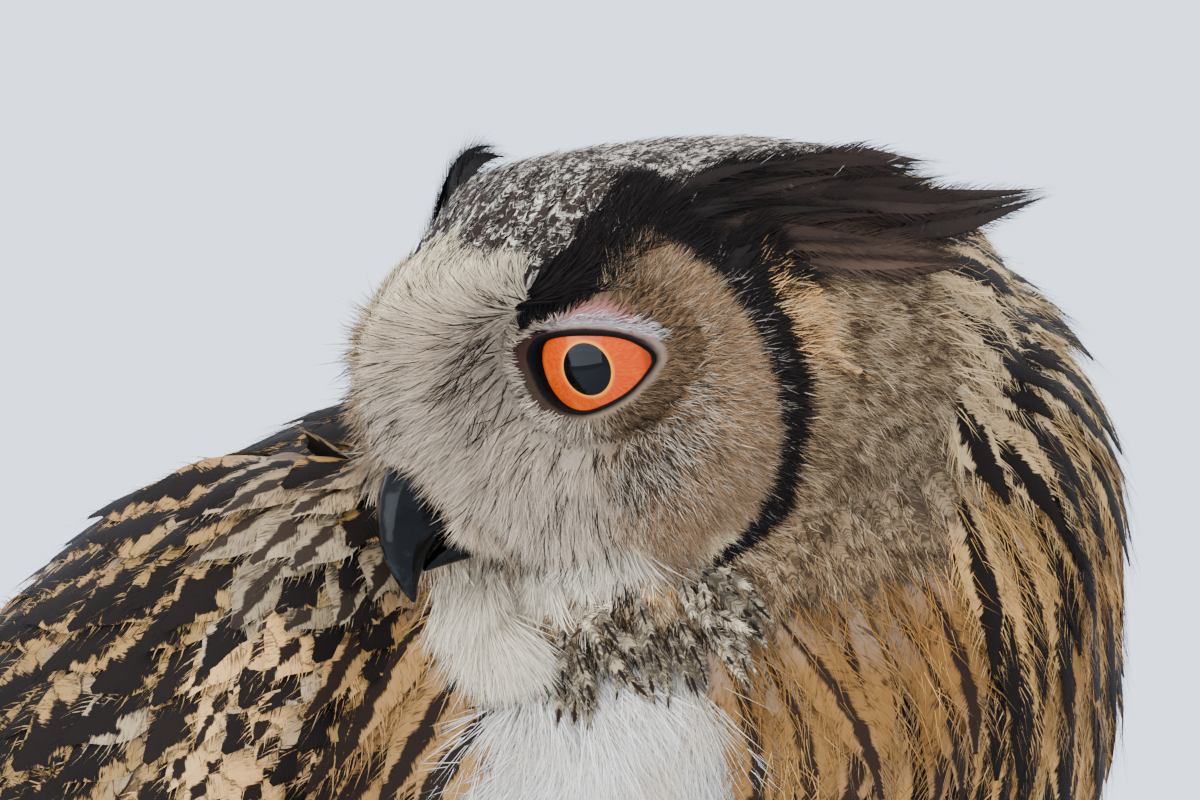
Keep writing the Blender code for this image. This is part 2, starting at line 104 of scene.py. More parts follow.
def step(value, low, high):
    """0 below low, 1 above high, smooth between."""
    share = np.clip((value - low) / (high - low), 0, 1)
    return share * share * (3 - 2 * share)


def near(value, middle, width):
    """1 at the middle, falling away smoothly to 0 over about two widths."""
    return np.exp(-((value - middle) / width) ** 2)


def mix(a, b, share):
    return a * (1 - share) + b * share


def unit(vectors):
    return vectors / np.maximum(np.linalg.norm(vectors, axis=-1, keepdims=True), 1e-9)


def along_skin(way, normals):
    """The part of each way that runs along the skin, at length 1."""
    return unit(way - normals * (way * normals).sum(1, keepdims=True))


def spline(a, b, c, d, t):
    """The place at share t of the way from b to c on a smooth curve through all four."""
    bend, twist = 2 * a - 5 * b + 4 * c - d, 3 * b - a - 3 * c + d
    return 0.5 * (2 * b + (c - a) * t + bend * t ** 2 + twist * t ** 3)


def line_lengths(line):
    return np.linalg.norm(np.diff(line, axis=1), axis=2).sum(1)


def to_head(points):
    return (points - EYES_MID) @ HEAD_AXES.T / MM


def from_head(points):
    return EYES_MID + (np.asarray(points, float) * MM) @ HEAD_AXES


def patchy(points, size):
    """Smooth noise from -1 to 1 whose patches are about that size in metres."""
    return np.array([noise.noise(Vector(p)) for p in points / size])


# ---- the skin -----------------------------------------------------------------------------------
HEAD, NECK, TRUNK, WING_LEFT, WING_RIGHT, THIGH, SHANK, TOE = range(8)
FLESH = {"head": HEAD, "neck": NECK, "trunk": TRUNK, "wing_left": WING_LEFT, "wing_right": WING_RIGHT}
for label, _ in SIDES:
    FLESH["thigh_" + label] = THIGH
    FLESH["shank_" + label] = SHANK
    for toe in TOES:
        FLESH[f"toe_{toe}_{label}"] = TOE
COAT_DEPTH = np.array([2.6, 8.0, 8.0, 6.5, 6.5, 6.0, 3.5, 1.6]) * MM
BILL_ROOT = (24, 0, -16)              # the bristles there are long, so the skin lies deeper
BILL_ROOT_DEPTH = 4.5 * MM
SKIN_VOXEL = 2.8 * MM
DEPTH_SPREADS = 12                    # rounds of averaging, so that the skin's depth never steps
PART_OVERLAP = 0.8 * MM               # grows each solid so that neighbours join


def joined_flesh():
    """All the solids of flesh in one mesh, and a tree that says which part a place belongs to."""
    verts, faces, owners = [], [], []
    for name, code in FLESH.items():
        mesh = frame["nodes"][name].data
        start = len(verts)
        verts += [vertex.co + vertex.normal * PART_OVERLAP for vertex in mesh.vertices]
        for face in mesh.polygons:
            faces.append([start + k for k in face.vertices])
            owners.append(code)
    mesh = bpy.data.meshes.new("flesh")
    mesh.from_pydata(verts, [], faces)
    return mesh, BVHTree.FromPolygons(verts, faces), np.array(owners)


def with_modifiers(obj, name):
    """The object's mesh as its modifiers leave it, in place of its own."""
    bpy.context.view_layer.update()
    made = bpy.data.meshes.new_from_object(obj.evaluated_get(bpy.context.evaluated_depsgraph_get()))
    obj.modifiers.clear()
    obj.data = made
    made.name = name
    return obj


def remeshed(mesh, name, voxel, smoothing):
    """A new object with an evenly faceted, smoothed copy of the mesh."""
    obj = bpy.data.objects.new(name, mesh)
    bpy.context.scene.collection.objects.link(obj)
    remesh = obj.modifiers.new("remesh", "REMESH")
    remesh.mode = "VOXEL"
    remesh.voxel_size = voxel
    soften = obj.modifiers.new("soften", "SMOOTH")
    soften.factor = 0.5
    soften.iterations = smoothing
    return with_modifiers(obj, name)


def rows_of(items, what, width, kind=float):
    """One value of every vertex, edge, loop or triangle of a mesh, as rows of that width."""
    flat = np.empty(len(items) * width, kind)
    items.foreach_get(what, flat)
    return flat.reshape(-1, width)


def vertex_array(mesh):
    return rows_of(mesh.vertices, "co", 3)


def vertex_normals(mesh):
    return rows_of(mesh.vertex_normals, "vector", 3)


def nearest_on(tree, points):
    found = [tree.find_nearest(p) for p in points]
    return np.array([hit[0] for hit in found]), np.array([hit[2] for hit in found])


def skin_object():
    """The skin, sunk below the flesh by the coat's depth, and the part of the body at each vertex."""
    mesh, tree, owners = joined_flesh()
    obj = remeshed(mesh, "skin", SKIN_VOXEL, 8)
    points = vertex_array(obj.data)
    labels = owners[nearest_on(tree, points)[1]]
    depth = COAT_DEPTH[labels]
    from_bill_root = np.linalg.norm(to_head(points) - BILL_ROOT, axis=1)
    depth = np.where(labels == HEAD, depth + BILL_ROOT_DEPTH * near(from_bill_root, 0, 22), depth)
    for _ in range(DEPTH_SPREADS):
        depth = spread(obj.data, depth)
    depth *= step(points[:, 2], 0.5 * MM, 6 * MM)
    points = points - vertex_normals(obj.data) * depth[:, None]
    obj.data.vertices.foreach_set("co", points.ravel())
    obj.modifiers.new("soften", "SMOOTH").iterations = 4
    with_modifiers(obj, "skin").data.shade_smooth()
    return obj, labels


def spread(mesh, values):
    """Each vertex's value averaged with its neighbours'."""
    ends = rows_of(mesh.edges, "vertices", 2, int)
    total = values.copy()
    count = np.ones(len(values))
    np.add.at(total, ends[:, 0], values[ends[:, 1]])
    np.add.at(total, ends[:, 1], values[ends[:, 0]])
    np.add.at(count, ends.ravel(), 1)
    return total / count


class Skin:
    """The skin as arrays, for rooting the coat on it."""

    def __init__(self, obj, labels):
        mesh = obj.data
        self.points = vertex_array(mesh)
        self.normals = vertex_normals(mesh)
        mesh.calc_loop_triangles()
        self.tris = rows_of(mesh.loop_triangles, "vertices", 3, int)
        self.loops = rows_of(mesh.loop_triangles, "loops", 3, int)
        self.labels = labels[self.tris[:, 0]]
        a, b, c = (self.points[self.tris[:, k]] for k in range(3))
        self.areas = np.linalg.norm(np.cross(b - a, c - a), axis=1) / 2
        self.middles = (a + b + c) / 3
        self.smooth = unit(self.normals[self.tris].mean(1))
        self.tree = BVHTree.FromPolygons(self.points.tolist(), self.tris.tolist())
        self.uv = None

    def take_uv(self, mesh):
        self.uv = rows_of(mesh.uv_layers["OFBake"].data, "uv", 2)[self.loops]

    def scatter(self, where, count):
        """Random roots, as dense as the share that each face is given."""
        weight = self.areas * where
        weight = weight / weight.sum()
        chosen = rng.choice(len(weight), count, p=weight)
        a, b = rng.random(count), rng.random(count)
        over = a + b > 1
        a[over], b[over] = 1 - a[over], 1 - b[over]
        share = np.stack([1 - a - b, a, b], 1)[:, :, None]
        points = (self.points[self.tris[chosen]] * share).sum(1)
        normals = unit((self.normals[self.tris[chosen]] * share).sum(1))
        return Roots(points, normals, self.labels[chosen], (self.uv[chosen] * share).sum(1))

    def nearest(self, points):
        """The nearest places on the skin, the normals there, and the parts of the body."""
        places, faces = nearest_on(self.tree, points)
        return places, self.smooth[faces], self.labels[faces]

    def roots_at(self, points, normals):
        """Roots at those very places; the nearest skin gives their part and their place on the unwrap."""
        faces = nearest_on(self.tree, points)[1]
        return Roots(points, normals, self.labels[faces], self.uv[faces].mean(1))


class Roots:
    """Where feathers grow from: places, skin normals, parts of the body, and places on the skin's unwrap."""

    def __init__(self, points, normals, labels, uv):
        self.points, self.normals, self.labels, self.uv = points, normals, labels, uv

    def __len__(self):
        return len(self.points)

    def lie(self):
        return lie(self.points, self.normals, self.labels)

    def looks(self, *among):
        return looks_at(self.points, self.labels, among)

    def keep(self, chosen):
        return Roots(self.points[chosen], self.normals[chosen], self.labels[chosen], self.uv[chosen])

    def thinned(self, spacing):
        """Drops roots that are nearer to a kept one than the spacing there."""
        spacing = np.broadcast_to(spacing, len(self))
        cells, kept = {}, []
        size = float(spacing.max())
        places = np.floor(self.points / size).astype(int)
        around = list(np.ndindex(3, 3, 3))
        for k, (cell, point) in enumerate(zip(map(tuple, places), self.points)):
            near_cells = [tuple(c + n - 1 for c, n in zip(cell, next_to)) for next_to in around]
            beside = [j for near_cell in near_cells for j in cells.get(near_cell, ())]
            if beside:
                gaps = self.points[beside] - point
                if (np.einsum("ij,ij->i", gaps, gaps) < spacing[k] ** 2).any():
                    continue
            cells.setdefault(cell, []).append(k)
            kept.append(k)
        return self.keep(np.array(kept))


# ---- the lie of the coat ------------------------------------------------------------------------
WING_WAY = unit(np.array([-0.21, 0.80, -0.56]))
SHOULDER_WAY = unit(np.array([0.55, 0.25, -0.80]))
BODY_WAY = unit(np.array([0.0, 0.62, -0.78]))
DISC_RADIUS = 43                      # of the facial disc; less above and at its outer side
FOOT_HUB = (0.056, -0.072)            # where the toes meet, from the middle line and along the body


def disc_place(head):
    """Round each eye, in its disc's plane: the angle, how far past the rim, and how far outwards."""
    forward, outward, up = head[:, 0], np.abs(head[:, 1]) - EYE_OUT, head[:, 2]
    across = -math.sin(DISC_FACING) * forward + math.cos(DISC_FACING) * outward
    radius = np.hypot(across, up)
    angle = np.arctan2(up, across)
    rise = np.sin(angle)
    rim = DISC_RADIUS - 6.5 * rise - 3 * np.maximum(rise, 0) - 4.5 * near(angle, 0.1, 0.9)
    return angle, radius - rim, across


def lie(points, normals, labels):
    """The way the feathers point at each place, along the skin."""
    head = to_head(points)
    side, zero = np.sign(head[:, 1]), np.zeros(len(head))
    past_rim = disc_place(head)[1]
    radial = unit(head - np.stack([zero, side * EYE_OUT, zero], 1)) @ HEAD_AXES
    forward_part = step(head[:, 0], -14, 8) * (1 - step(head[:, 2], 4, 18))
    forward_part = forward_part * (1 - step(np.abs(head[:, 1]), 26, 36))
    sweep = unit(np.stack([0.5 + zero, 0.25 * side, -1 + zero], 1)) @ HEAD_AXES
    radial = unit(radial + 0.5 * forward_part[:, None] * sweep)
    low = step(-head[:, 2], 0, 62)[:, None]
    out = step(np.abs(head[:, 1]), 20, 60)[:, None] * (1 - low)
    drop = np.array([0.0, 0.12, -1.0])
    back = unit(-HEAD_FORWARD * (1 - 0.6 * low) + drop * (0.12 + 0.4 * out + 0.75 * low))
    on_crown = (1 - step(np.abs(head[:, 1]), 24, 40)) * step(head[:, 2], 14, 30)
    on_disc = (1 - step(past_rim, 3, 12)) * (1 - on_crown) * (1 - step(-head[:, 0], 38, 52))
    near_head = 1 - step(np.linalg.norm(head - (-40, 0, -20), axis=1), 70, 110)
    way = mix(back, radial, on_disc[:, None])
    body = np.tile(BODY_WAY, (len(points), 1))
    ahead = (1 - step(points[:, 1], -0.15, -0.06))[:, None]
    for code, mirror in ((WING_LEFT, 1), (WING_RIGHT, -1)):
        here = labels == code
        body[here] = mix(WING_WAY, SHOULDER_WAY, ahead[here]) * (mirror, 1, 1)
    body[(labels == THIGH) | (labels == SHANK)] = (0.0, 0.1, -1.0)
    hub = np.stack([np.sign(points[:, 0]) * FOOT_HUB[0], FOOT_HUB[1] + zero], 1)
    toe_way = np.column_stack([points[:, :2] - hub, zero - 0.006])
    body[labels == TOE] = unit(toe_way)[labels == TOE]
    share = np.where(labels == HEAD, 1.0, np.where(labels == NECK, near_head, 0.0))[:, None]
    return along_skin(way * share + body * (1 - share), normals)


# ---- markings -----------------------------------------------------------------------------------
# base colour, mark colour, half width of the shaft streak, strength of the bars, of the mottling,
# and how far from the shaft the bars begin (half widths of the feather)
LOOKS = {
    "disc": ("69523a", "4a3928", 0.0, 0.0, 0.0, 0.0),
    "lores": ("b59f84", "4a4038", 0.0, 0.0, 0.0, 0.0),
    "crown": ("2a1f18", "dccfba", 0.0, 0.29, 0.31, 0.45),
    "forehead": ("cdb897", "3a2e25", 0.22, 0.2, 0.25, 0.0),
    "black": ("120e0c", "241c17", 0.0, 0.0, 0.0, 0.0),
    "ochre": ("e0ab6c", "1d1510", 0.0, 0.22, 0.26, 0.0),
    "mottled": ("9b7c57", "34261b", 0.0, 0.0, 0.58, 0.0),
    "nape": ("b3864a", "150d08", 0.42, 0.05, 0.32, 0.0),
    "breast": ("8a6030", "2b1d13", 0.20, 0.05, 0.36, 0.0),
    "flank": ("976f3e", "20150e", 0.26, 0.06, 0.38, 0.0),
    "shoulder": ("917a5a", "2c2118", 0.22, 0.10, 0.44, 0.0),
    "amber": ("cc9a5c", "1d130c", 0.14, 0.14, 0.26, 0.2),
    "white": ("f6ecdd", "cfc6b8", 0.0, 0.0, 0.0, 0.0),
    "chin": ("ddc7a2", "b8ab98", 0.0, 0.0, 0.0, 0.0),
    "ruff": ("9c8a6c", "1f1611", 0.08, 0.16, 0.62, 0.0),
    "belly": ("d6aa66", "3a2a1e", 0.14, 0.42, 0.10, 0.0),
    "mantle": ("8a683b", "150e09", 0.57, 0.16, 0.38, 0.0),
    "wing": ("94703f", "150e09", 0.50, 0.16, 0.36, 0.0),
    "leg": ("b89360", "7a5b38", 0.0, 0.34, 0.12, 0.0),
}


# the black brow's lower and upper edge, by how far back of the eyes' line it is, in millimetres
BROW_BACK = [-12, -9, -5.6, -3, 0.4, 4, 8, 12, 18, 23, 30, 42]
BROW_LOW = [9.0, 10.0, 12.0, 13.0, 14.0, 15.5, 19.0, 22.0, 23.0, 22.0, 20.0, 16.0]
BROW_HIGH = [10.0, 15.0, 19.5, 21.5, 24.0, 26.4, 28.6, 30.0, 30.6, 30.4, 29.8, 28.5]
# the pale place where each wing's bend meets the neck and the amber one below it, in metres, right side
SHOULDER = (-0.094, -0.142, 0.326)
AMBER = (-0.109, -0.136, 0.270)
PALE_SPOT = (-14, 44, -44)            # the pale tuft at the lower end of the disc's black rim


def look_weights(points, labels):
    """How much of each look every place has; the weights are not yet made to add up to one."""
    head = to_head(points)
    forward, left, up = head.T
    wide = np.abs(left)
    angle, past_rim, across = disc_place(head)
    is_head = labels == HEAD
    at_head = (1 - step(np.linalg.norm(head - (-35, 0, -15), axis=1), 66, 88)) * (is_head | (labels == NECK))
    at_head = np.where(is_head, 1.0, at_head)
    crown_line = np.where(forward > -20, 31 - 0.45 * wide, 14 + 0.3 * (forward + 40))
    inside = 1 - step(past_rim, -1, 1.5)
    crown = step(up - crown_line, -3, 4) * (1 - step(wide, 56, 64)) * (1 - inside * step(wide, 30, 36))
    frontal = step(forward, -52, -38)
    degrees = np.degrees(angle)
    grown = step(degrees, -38, 0)
    rim = step(past_rim, -4.2 - 1.6 * grown, -3.0 - 1.6 * grown)
    rim = rim * (1 - step(past_rim, 0.5 + 2.2 * grown, 2 + 2.2 * grown))
    rim = rim * step(degrees, -84, -58) * (1 - step(degrees, 66, 84))
    brow_low, brow_high = (np.interp(-forward, BROW_BACK, line) for line in (BROW_LOW, BROW_HIGH))
    brow_low = brow_low - 12 * step(past_rim, -1.5, 0.5) * step(-forward, 12, 17)
    brow = step(up, brow_low - 0.6, brow_low + 1.0) * (1 - step(up, brow_high - 1.0, brow_high + 1.0))
    hidden = 10 * (left < 0)          # the far side's brow starts further out
    brow = brow * step(wide, 20 + hidden, 24 + hidden)
    brow = brow * step(forward, -46, -34) * (1 - step(forward, 10, 13))
    weights = {}
    weights["black"] = at_head * (3.2 * rim * frontal + 3.0 * brow)
    weights["crown"] = at_head * crown * (1 - brow) * (1 - step(forward, 4, 12) * step(wide, 14, 20))
    face = at_head * inside * frontal * (1 - crown)
    inner = step(-across, -6, 8)
    weights["lores"] = face * inner * (1 - step(up, 12, 26))
    front = step(degrees, 92, 108)
    weights["forehead"] = face * step(up, 12, 24) * step(-across, -14, 0) * 1.2
    weights["forehead"] += at_head * (1 - crown) * (1 - inside) * front
    weights["disc"] = face * (1 - inner)
    down = -up + 5 * patchy(points, 0.009)
    chin = step(forward, -8, 4) * step(-up, 33, 41) * (1 - step(wide, 26, 38))
    weights["chin"] = 1.6 * at_head * chin * (1 - step(down + 0.3 * (wide - 15), 45, 53))
    behind = at_head * step(past_rim, 1, 3) * (1 - crown) * (1 - front)
    weights["ochre"] = 2.5 * behind * (1 - step(past_rim, 10, 12)) * step(degrees, -16, -6) * frontal
    nape = step(-forward, 58, 80)
    low = step(-up, 52, 70)
    weights["mottled"] = behind * (1 - nape) * (1 - 0.75 * low)
    weights["nape"] = behind * nape * (1 - 0.6 * low) + at_head * crown * step(-forward, 78, 92) * 1.5
    throat = step(forward, -8, 2) * (1 - step(forward, 33, 40))
    throat = throat * step(down, 64, 71) * (1 - step(down, 92, 104))
    weights["white"] = 2.4 * throat * step(left, 4, 12) * (labels <= TRUNK)
    ruff = step(forward, -26, -12) * step(down, 47, 54) * (1 - step(down, 63, 71)) * step(left, 8, 18)
    weights["ruff"] = 1.3 * (labels <= TRUNK) * ruff
    flank = step(forward, -66, -50) * (labels <= TRUNK) * (1 - throat)
    weights["breast"] = behind * low * (0.6 + 1.4 * flank)
    rest = np.clip(1 - sum(weights.values()), 0, 1)
    height = points[:, 2]
    behind_tail = np.maximum(points[:, 1], 0)
    facing_back = step(points[:, 1] * 0.62 + behind_tail * 0.5 + height - 0.25, -0.05, 0.01)
    weights["nape"] += rest * (labels == NECK) * 0.75
    weights["breast"] += rest * (labels == NECK) * 0.35
    trunk = rest * (labels == TRUNK)
    weights["mantle"] = trunk * facing_back
    belly = step(0.20 - height, -0.03, 0.03)
    weights["flank"] = trunk * (1 - facing_back) * (1 - belly)
    weights["belly"] = trunk * (1 - facing_back) * belly
    on_wing = rest * ((labels == WING_LEFT) | (labels == WING_RIGHT))
    folded = np.stack([-np.abs(points[:, 0]), points[:, 1], points[:, 2]], axis=1)
    ragged = 0.010 * patchy(points, 0.02)
    for name, middle in (("shoulder", SHOULDER), ("amber", AMBER)):
        away = np.linalg.norm(folded - middle, axis=1) + ragged
        weights[name] = 1.3 * (1 - step(away, 0.020, 0.034)) * on_wing
    weights["wing"] = on_wing
    weights["leg"] = labels >= THIGH
    return weights


def looks_at(points, labels, among=()):
    """Base colour, mark colour and marking traits at each place.

    The looks are blended, or where some are named each place takes one of those, the stronger the likelier.
    """
    weights = look_weights(points, labels)
    if among:
        chances = np.stack([weights[name] for name in among]) ** 2 + 1e-9
        chances = np.cumsum(chances / chances.sum(0), axis=0)
        picked = (chances < rng.random(len(points))).sum(0)
        weights = {name: 1.0 * (picked == k) for k, name in enumerate(among)}
    for name in ("nape", "wing", "mantle"):
        weights.setdefault(name, np.zeros(len(points)))
    head = to_head(points)
    total = np.maximum(sum(weights.values()), 1e-4)
    base = np.zeros((len(points), 3))
    mark = np.zeros((len(points), 3))
    traits = np.zeros((len(points), 4))
    for name, weight in weights.items():
        share = (weight / total)[:, None]
        look = LOOKS[name]
        base += share * linear(look[0])
        mark += share * linear(look[1])
        traits += share * np.array(look[2:])
    blotch = patchy(points, 0.016)[:, None]
    warmth = patchy(points + 0.5, 0.03)[:, None]
    base = base * (1 + 0.22 * blotch) * (1 + 0.12 * warmth * np.array([1.0, 0.2, -0.8]))
    on_nape = (weights["nape"] / total)[:, None]
    cream = step(head[:, 2] + 14 * patchy(points + 0.4, 0.014), -50, -18)[:, None] * on_nape
    base = base * (1 - 0.6 * cream) + linear("c6ae84") * 0.6 * cream
    base = mix(base, linear("e6cfa6"), near(np.linalg.norm(head - PALE_SPOT, axis=1), 0, 4.5)[:, None])
    on_back = ((weights["wing"] + weights["mantle"]) / total)[:, None]
    pale = 0.55 * step(patchy(points + 0.2, 0.021), 0.10, 0.40)[:, None] * on_back
    pale = pale * step(points[:, 2], 0.24, 0.29)[:, None]
    base = mix(base, linear("b3a083"), pale)
    return np.clip(base, 0, 1), np.clip(mark, 0, 1), traits


# ---- the coat -----------------------------------------------------------------------------------
PATCH = 0.003                         # the size of one tuft's patch on the unwrap
LOWEST = 0.0002                       # the hairs of the toes stop just over the floor
SEED_SPREAD = 50                      # sets the noise of neighbouring feathers far apart


def contour_profile(along):
    """Half width of a body feather along its shaft, as a share of its greatest."""
    return np.sin(np.pi * np.clip(0.12 + 0.80 * along ** 0.9, 0, 1)) ** 0.75


def lance_profile(along):
    """Half width of a long feather that narrows to its point."""
    return (0.45 + 0.55 * step(along, 0, 0.25)) * np.clip(1.02 - along ** 2.2, 0.02, 1)


def strap_profile(along):
    """Half width of a long even feather with a rounded end."""
    return (0.45 + 0.55 * step(along, 0, 0.3)) * np.sqrt(np.clip(1.04 - along ** 7, 0, 1))


# what a vane is like unless its coat says otherwise: angles in degrees, core as a share of the feather's
# width, barbs as the number along each edge, barb as their greatest share of the feather's length, and tip
# as a colour and how much of it the pale edge has
VANE = dict(rows=5, columns=4, scatter=6, roll=5, core=0.6, narrowing=0.7, camber=0.22, variety=0.10,
            profile=contour_profile, barbs=14, barb=0.24, barb_width=0.5 * MM, fringe_from=0.18, slant=42,
            tip=None, tip_share=0.35, down="8d8377", lines=None)


def shades(colour, count):
    """A row of colour for each of so many roots, from rows or from one colour written as hex."""
    return np.zeros((count, 3)) + linear(colour) if isinstance(colour, str) else colour


class Coat:
    """Collects vanes and strands, and makes one mesh of them."""

    def __init__(self, name):
        self.name, self.parts, self.count = name, [], 0

    def add(self, verts, tris, *values):
        """Adds points and triangles, and each point's place, lie_mm, base, mark, traits and uv."""
        rows = [value.reshape(-1, value.shape[-1]) for value in (verts, *values)]
        self.parts.append((rows[0], tris.reshape(-1, 3) + self.count, *rows[1:]))
        self.count += len(rows[0])

    def hairs(self, where, count, *size, **look):
        """Strands scattered over the skin, as dense as the share that each face is given."""
        self.strands(skin.scatter(where, int(count)), *size, **look)

    def fluff(self, where, count, *size, shares, among=(), locks=None, **look):
        """Scattered strands in the coat's own colours, times these shares at the root and at the tip."""
        roots = skin.scatter(where, int(count))
        base = strand_colours(roots, *among)
        way = parted(roots, *locks) if locks else None
        self.strands(roots, *size, base=base * shares[0], tip=base * shares[1], way=way, **look)

    def strands(self, roots, length, width, lift, base, tip=None, way=None, segments=2, bend=0.5, scatter=9,
                variety=0.22):
        """Thin tapered blades: bristles, down and hair-like feathers.

        lift is the angle off the skin in degrees, and bend how much of it is lost by the tip.
        """
        count = len(roots)
        if way is None:
            way = roots.lie()
        yaw = np.radians(rng.normal(0, scatter, count))[:, None]
        across = np.cross(roots.normals, way)
        way = way * np.cos(yaw) + across * np.sin(yaw)
        length = np.broadcast_to(length, count) * rng.uniform(0.72, 1.12, count)
        lift = np.radians(np.broadcast_to(lift, count) * rng.uniform(0.6, 1.3, count))
        sway = rng.normal(0, 0.10, count)
        share = np.linspace(0, 1, segments + 1)[None, :, None]
        reach = length[:, None, None]
        line = (roots.points[:, None] + (way * np.cos(lift)[:, None])[:, None] * reach * share
                + (roots.normals * np.sin(lift)[:, None])[:, None] * reach * (share - bend * share ** 2)
                + across[:, None] * reach * sway[:, None, None] * share ** 2)
        roll = rng.uniform(-0.9, 0.9, count)[:, None]
        flat = unit(np.cross(roots.normals, way)) * np.cos(roll) + roots.normals * np.sin(roll)
        half = np.broadcast_to(width, count)[:, None, None] / 2 * (1 - 0.45 * share[:, :-1] ** 1.5)
        edges = [line[:, :-1] - flat[:, None] * half, line[:, :-1] + flat[:, None] * half]
        verts = np.concatenate([np.stack(edges, 2).reshape(count, -1, 3), line[:, -1:]], 1)
        per = 2 * segments + 1
        cells = []
        for k in range(0, 2 * segments - 2, 2):
            cells += [(k, k + 1, k + 3), (k, k + 3, k + 2)]
        cells.append((per - 3, per - 2, per - 1))
        tris = (np.arange(count) * per)[:, None, None] + np.array(cells)[None]
        along = np.append(np.repeat(np.linspace(0, 1, segments + 1)[:-1], 2), 1.0)
        spot = rng.random(count)
        base = shades(base, count)
        tip = base if tip is None else shades(tip, count)
        tone = np.exp(rng.normal(0, variety, count))[:, None, None]
        colour = mix(base[:, None], tip[:, None], along[None, :, None]) * tone
        zero = np.zeros((count, per))
        place = np.stack([zero + along, zero, zero + spot[:, None]], 2)
        lie_mm = np.stack([length[:, None] / MM * along, zero, zero + spot[:, None] * SEED_SPREAD], 2)
        side = np.append(np.tile([-1.0, 1.0], segments), 0.0)
        uv = roots.uv[:, None] + np.stack([zero + side * 0.3, zero + along - 0.5], 2) * PATCH
        self.add(verts, tris, place, lie_mm, colour, colour, np.zeros((count, per, 4)), uv)

    def vanes(self, roots, length, half_width, height, colours, **look):
        """Feathers: a narrow cambered core that follows the skin, with long barbs along its edges."""
        f = SimpleNamespace(**{**VANE, **look}, roots=roots, colours=colours)
        f.count, rows, columns = len(roots), f.rows, f.columns
        f.length = np.broadcast_to(length, f.count) * rng.uniform(0.85, 1.12, f.count)
        half_width = np.broadcast_to(half_width, f.count) * rng.uniform(0.88, 1.12, f.count)
        height = np.broadcast_to(height, f.count) * rng.uniform(0.75, 1.1, f.count)
        f.line, ups = f.lines or drape(roots, f.length, height, rows, f.scatter)
        along = np.linspace(0, 1, rows + 1)
        shares = f.profile(along)
        core_shares = f.core * shares * (1 - f.narrowing * step(along, 0.55, 1.0))
        ways = unit(np.gradient(f.line, axis=1))
        across = unit(np.cross(ups, ways))
        roll = np.radians(rng.normal(0, f.roll, f.count))[:, None, None]
        f.across = across * np.cos(roll) + ups * np.sin(roll)
        f.ups = ups * np.cos(roll) - across * np.sin(roll)
        v = np.linspace(-1, 1, columns + 1)
        f.full, f.half = half_width[:, None] * shares, half_width[:, None] * core_shares
        aside = f.half[:, :, None, None] * v[None, None, :, None]
        reach = np.maximum(f.full, 0.2 * MM)[:, :, None, None]
        verts = (f.line[:, :, None] + f.across[:, :, None] * aside
                 - f.ups[:, :, None] * f.camber * aside ** 2 / reach)
        per = (rows + 1) * (columns + 1)
        cells = []
        for r in range(rows):
            for a in range(r * (columns + 1), r * (columns + 1) + columns):
                cells += [(a, a + 1, a + columns + 2), (a, a + columns + 2, a + columns + 1)]
        tris = (np.arange(f.count) * per)[:, None, None] + np.array(cells)[None]
        f.spot = rng.random(f.count)
        f.tone = np.exp(rng.normal(0, f.variety, f.count))
        zero = np.zeros((f.count, 1))
        u_grid = np.repeat(along, columns + 1)[None] + zero
        v_grid = (v[None] * (core_shares / np.maximum(shares, 0.05))[:, None]).reshape(1, -1) + zero
        self.add_feather_verts(f, verts, tris, u_grid, v_grid, np.repeat(f.full, columns + 1, axis=1))
        self.fringe(f)

    def fringe(self, f):
        """Barbs from both edges of each core to the feather's full width, swept towards its tip."""
        rows, barbs = f.line.shape[1] - 1, f.barbs
        u = np.linspace(f.fringe_from, 1.0, barbs)[None] + rng.uniform(-0.02, 0.02, (f.count, barbs))
        u = np.tile(np.clip(u, 0, 1), 2)
        side = np.repeat([-1.0, 1.0], barbs)[None] + np.zeros((f.count, 1))
        edge = rng.uniform(0.5, 0.95, u.shape) * side
        at_tip = u > 0.93
        edge = np.where(at_tip, edge * rng.uniform(0, 1, u.shape), edge)
        place = u * rows
        k = np.minimum(place.astype(int), rows - 1)
        t = (place - k)[..., None]
        item = np.arange(f.count)[:, None]

        def at(values):
            return values[item, k] * (1 - t) + values[item, k + 1] * t

        wide, inner = at(f.full[..., None])[..., 0], at(f.half[..., None])[..., 0]
        mid, over, high = at(f.line), unit(at(f.across)), unit(at(f.ups))
        forward = unit(f.line[item, k + 1] - f.line[item, k])
        slant = np.radians(f.slant - 30 * u + rng.normal(0, 6, u.shape))
        slant = np.where(at_tip, slant * np.abs(edge), slant)
        span = np.maximum(wide - inner * np.abs(edge), 1.0 * MM)
        reach = np.minimum(span / np.sin(np.maximum(slant, 0.2)), f.barb * f.length[:, None])
        reach = reach * rng.uniform(0.75, 1.25, u.shape)
        root_v, tip_v = inner * edge, inner * edge + side * reach * np.sin(slant)
        curve = 0.5 * (root_v + tip_v) + side * 0.06 * reach

        def spot_at(sideways, onward, lift):
            bow = f.camber * sideways ** 2 / np.maximum(wide, 0.2 * MM)
            return (mid + over * sideways[..., None] + forward * onward[..., None]
                    + high * (lift - bow)[..., None])

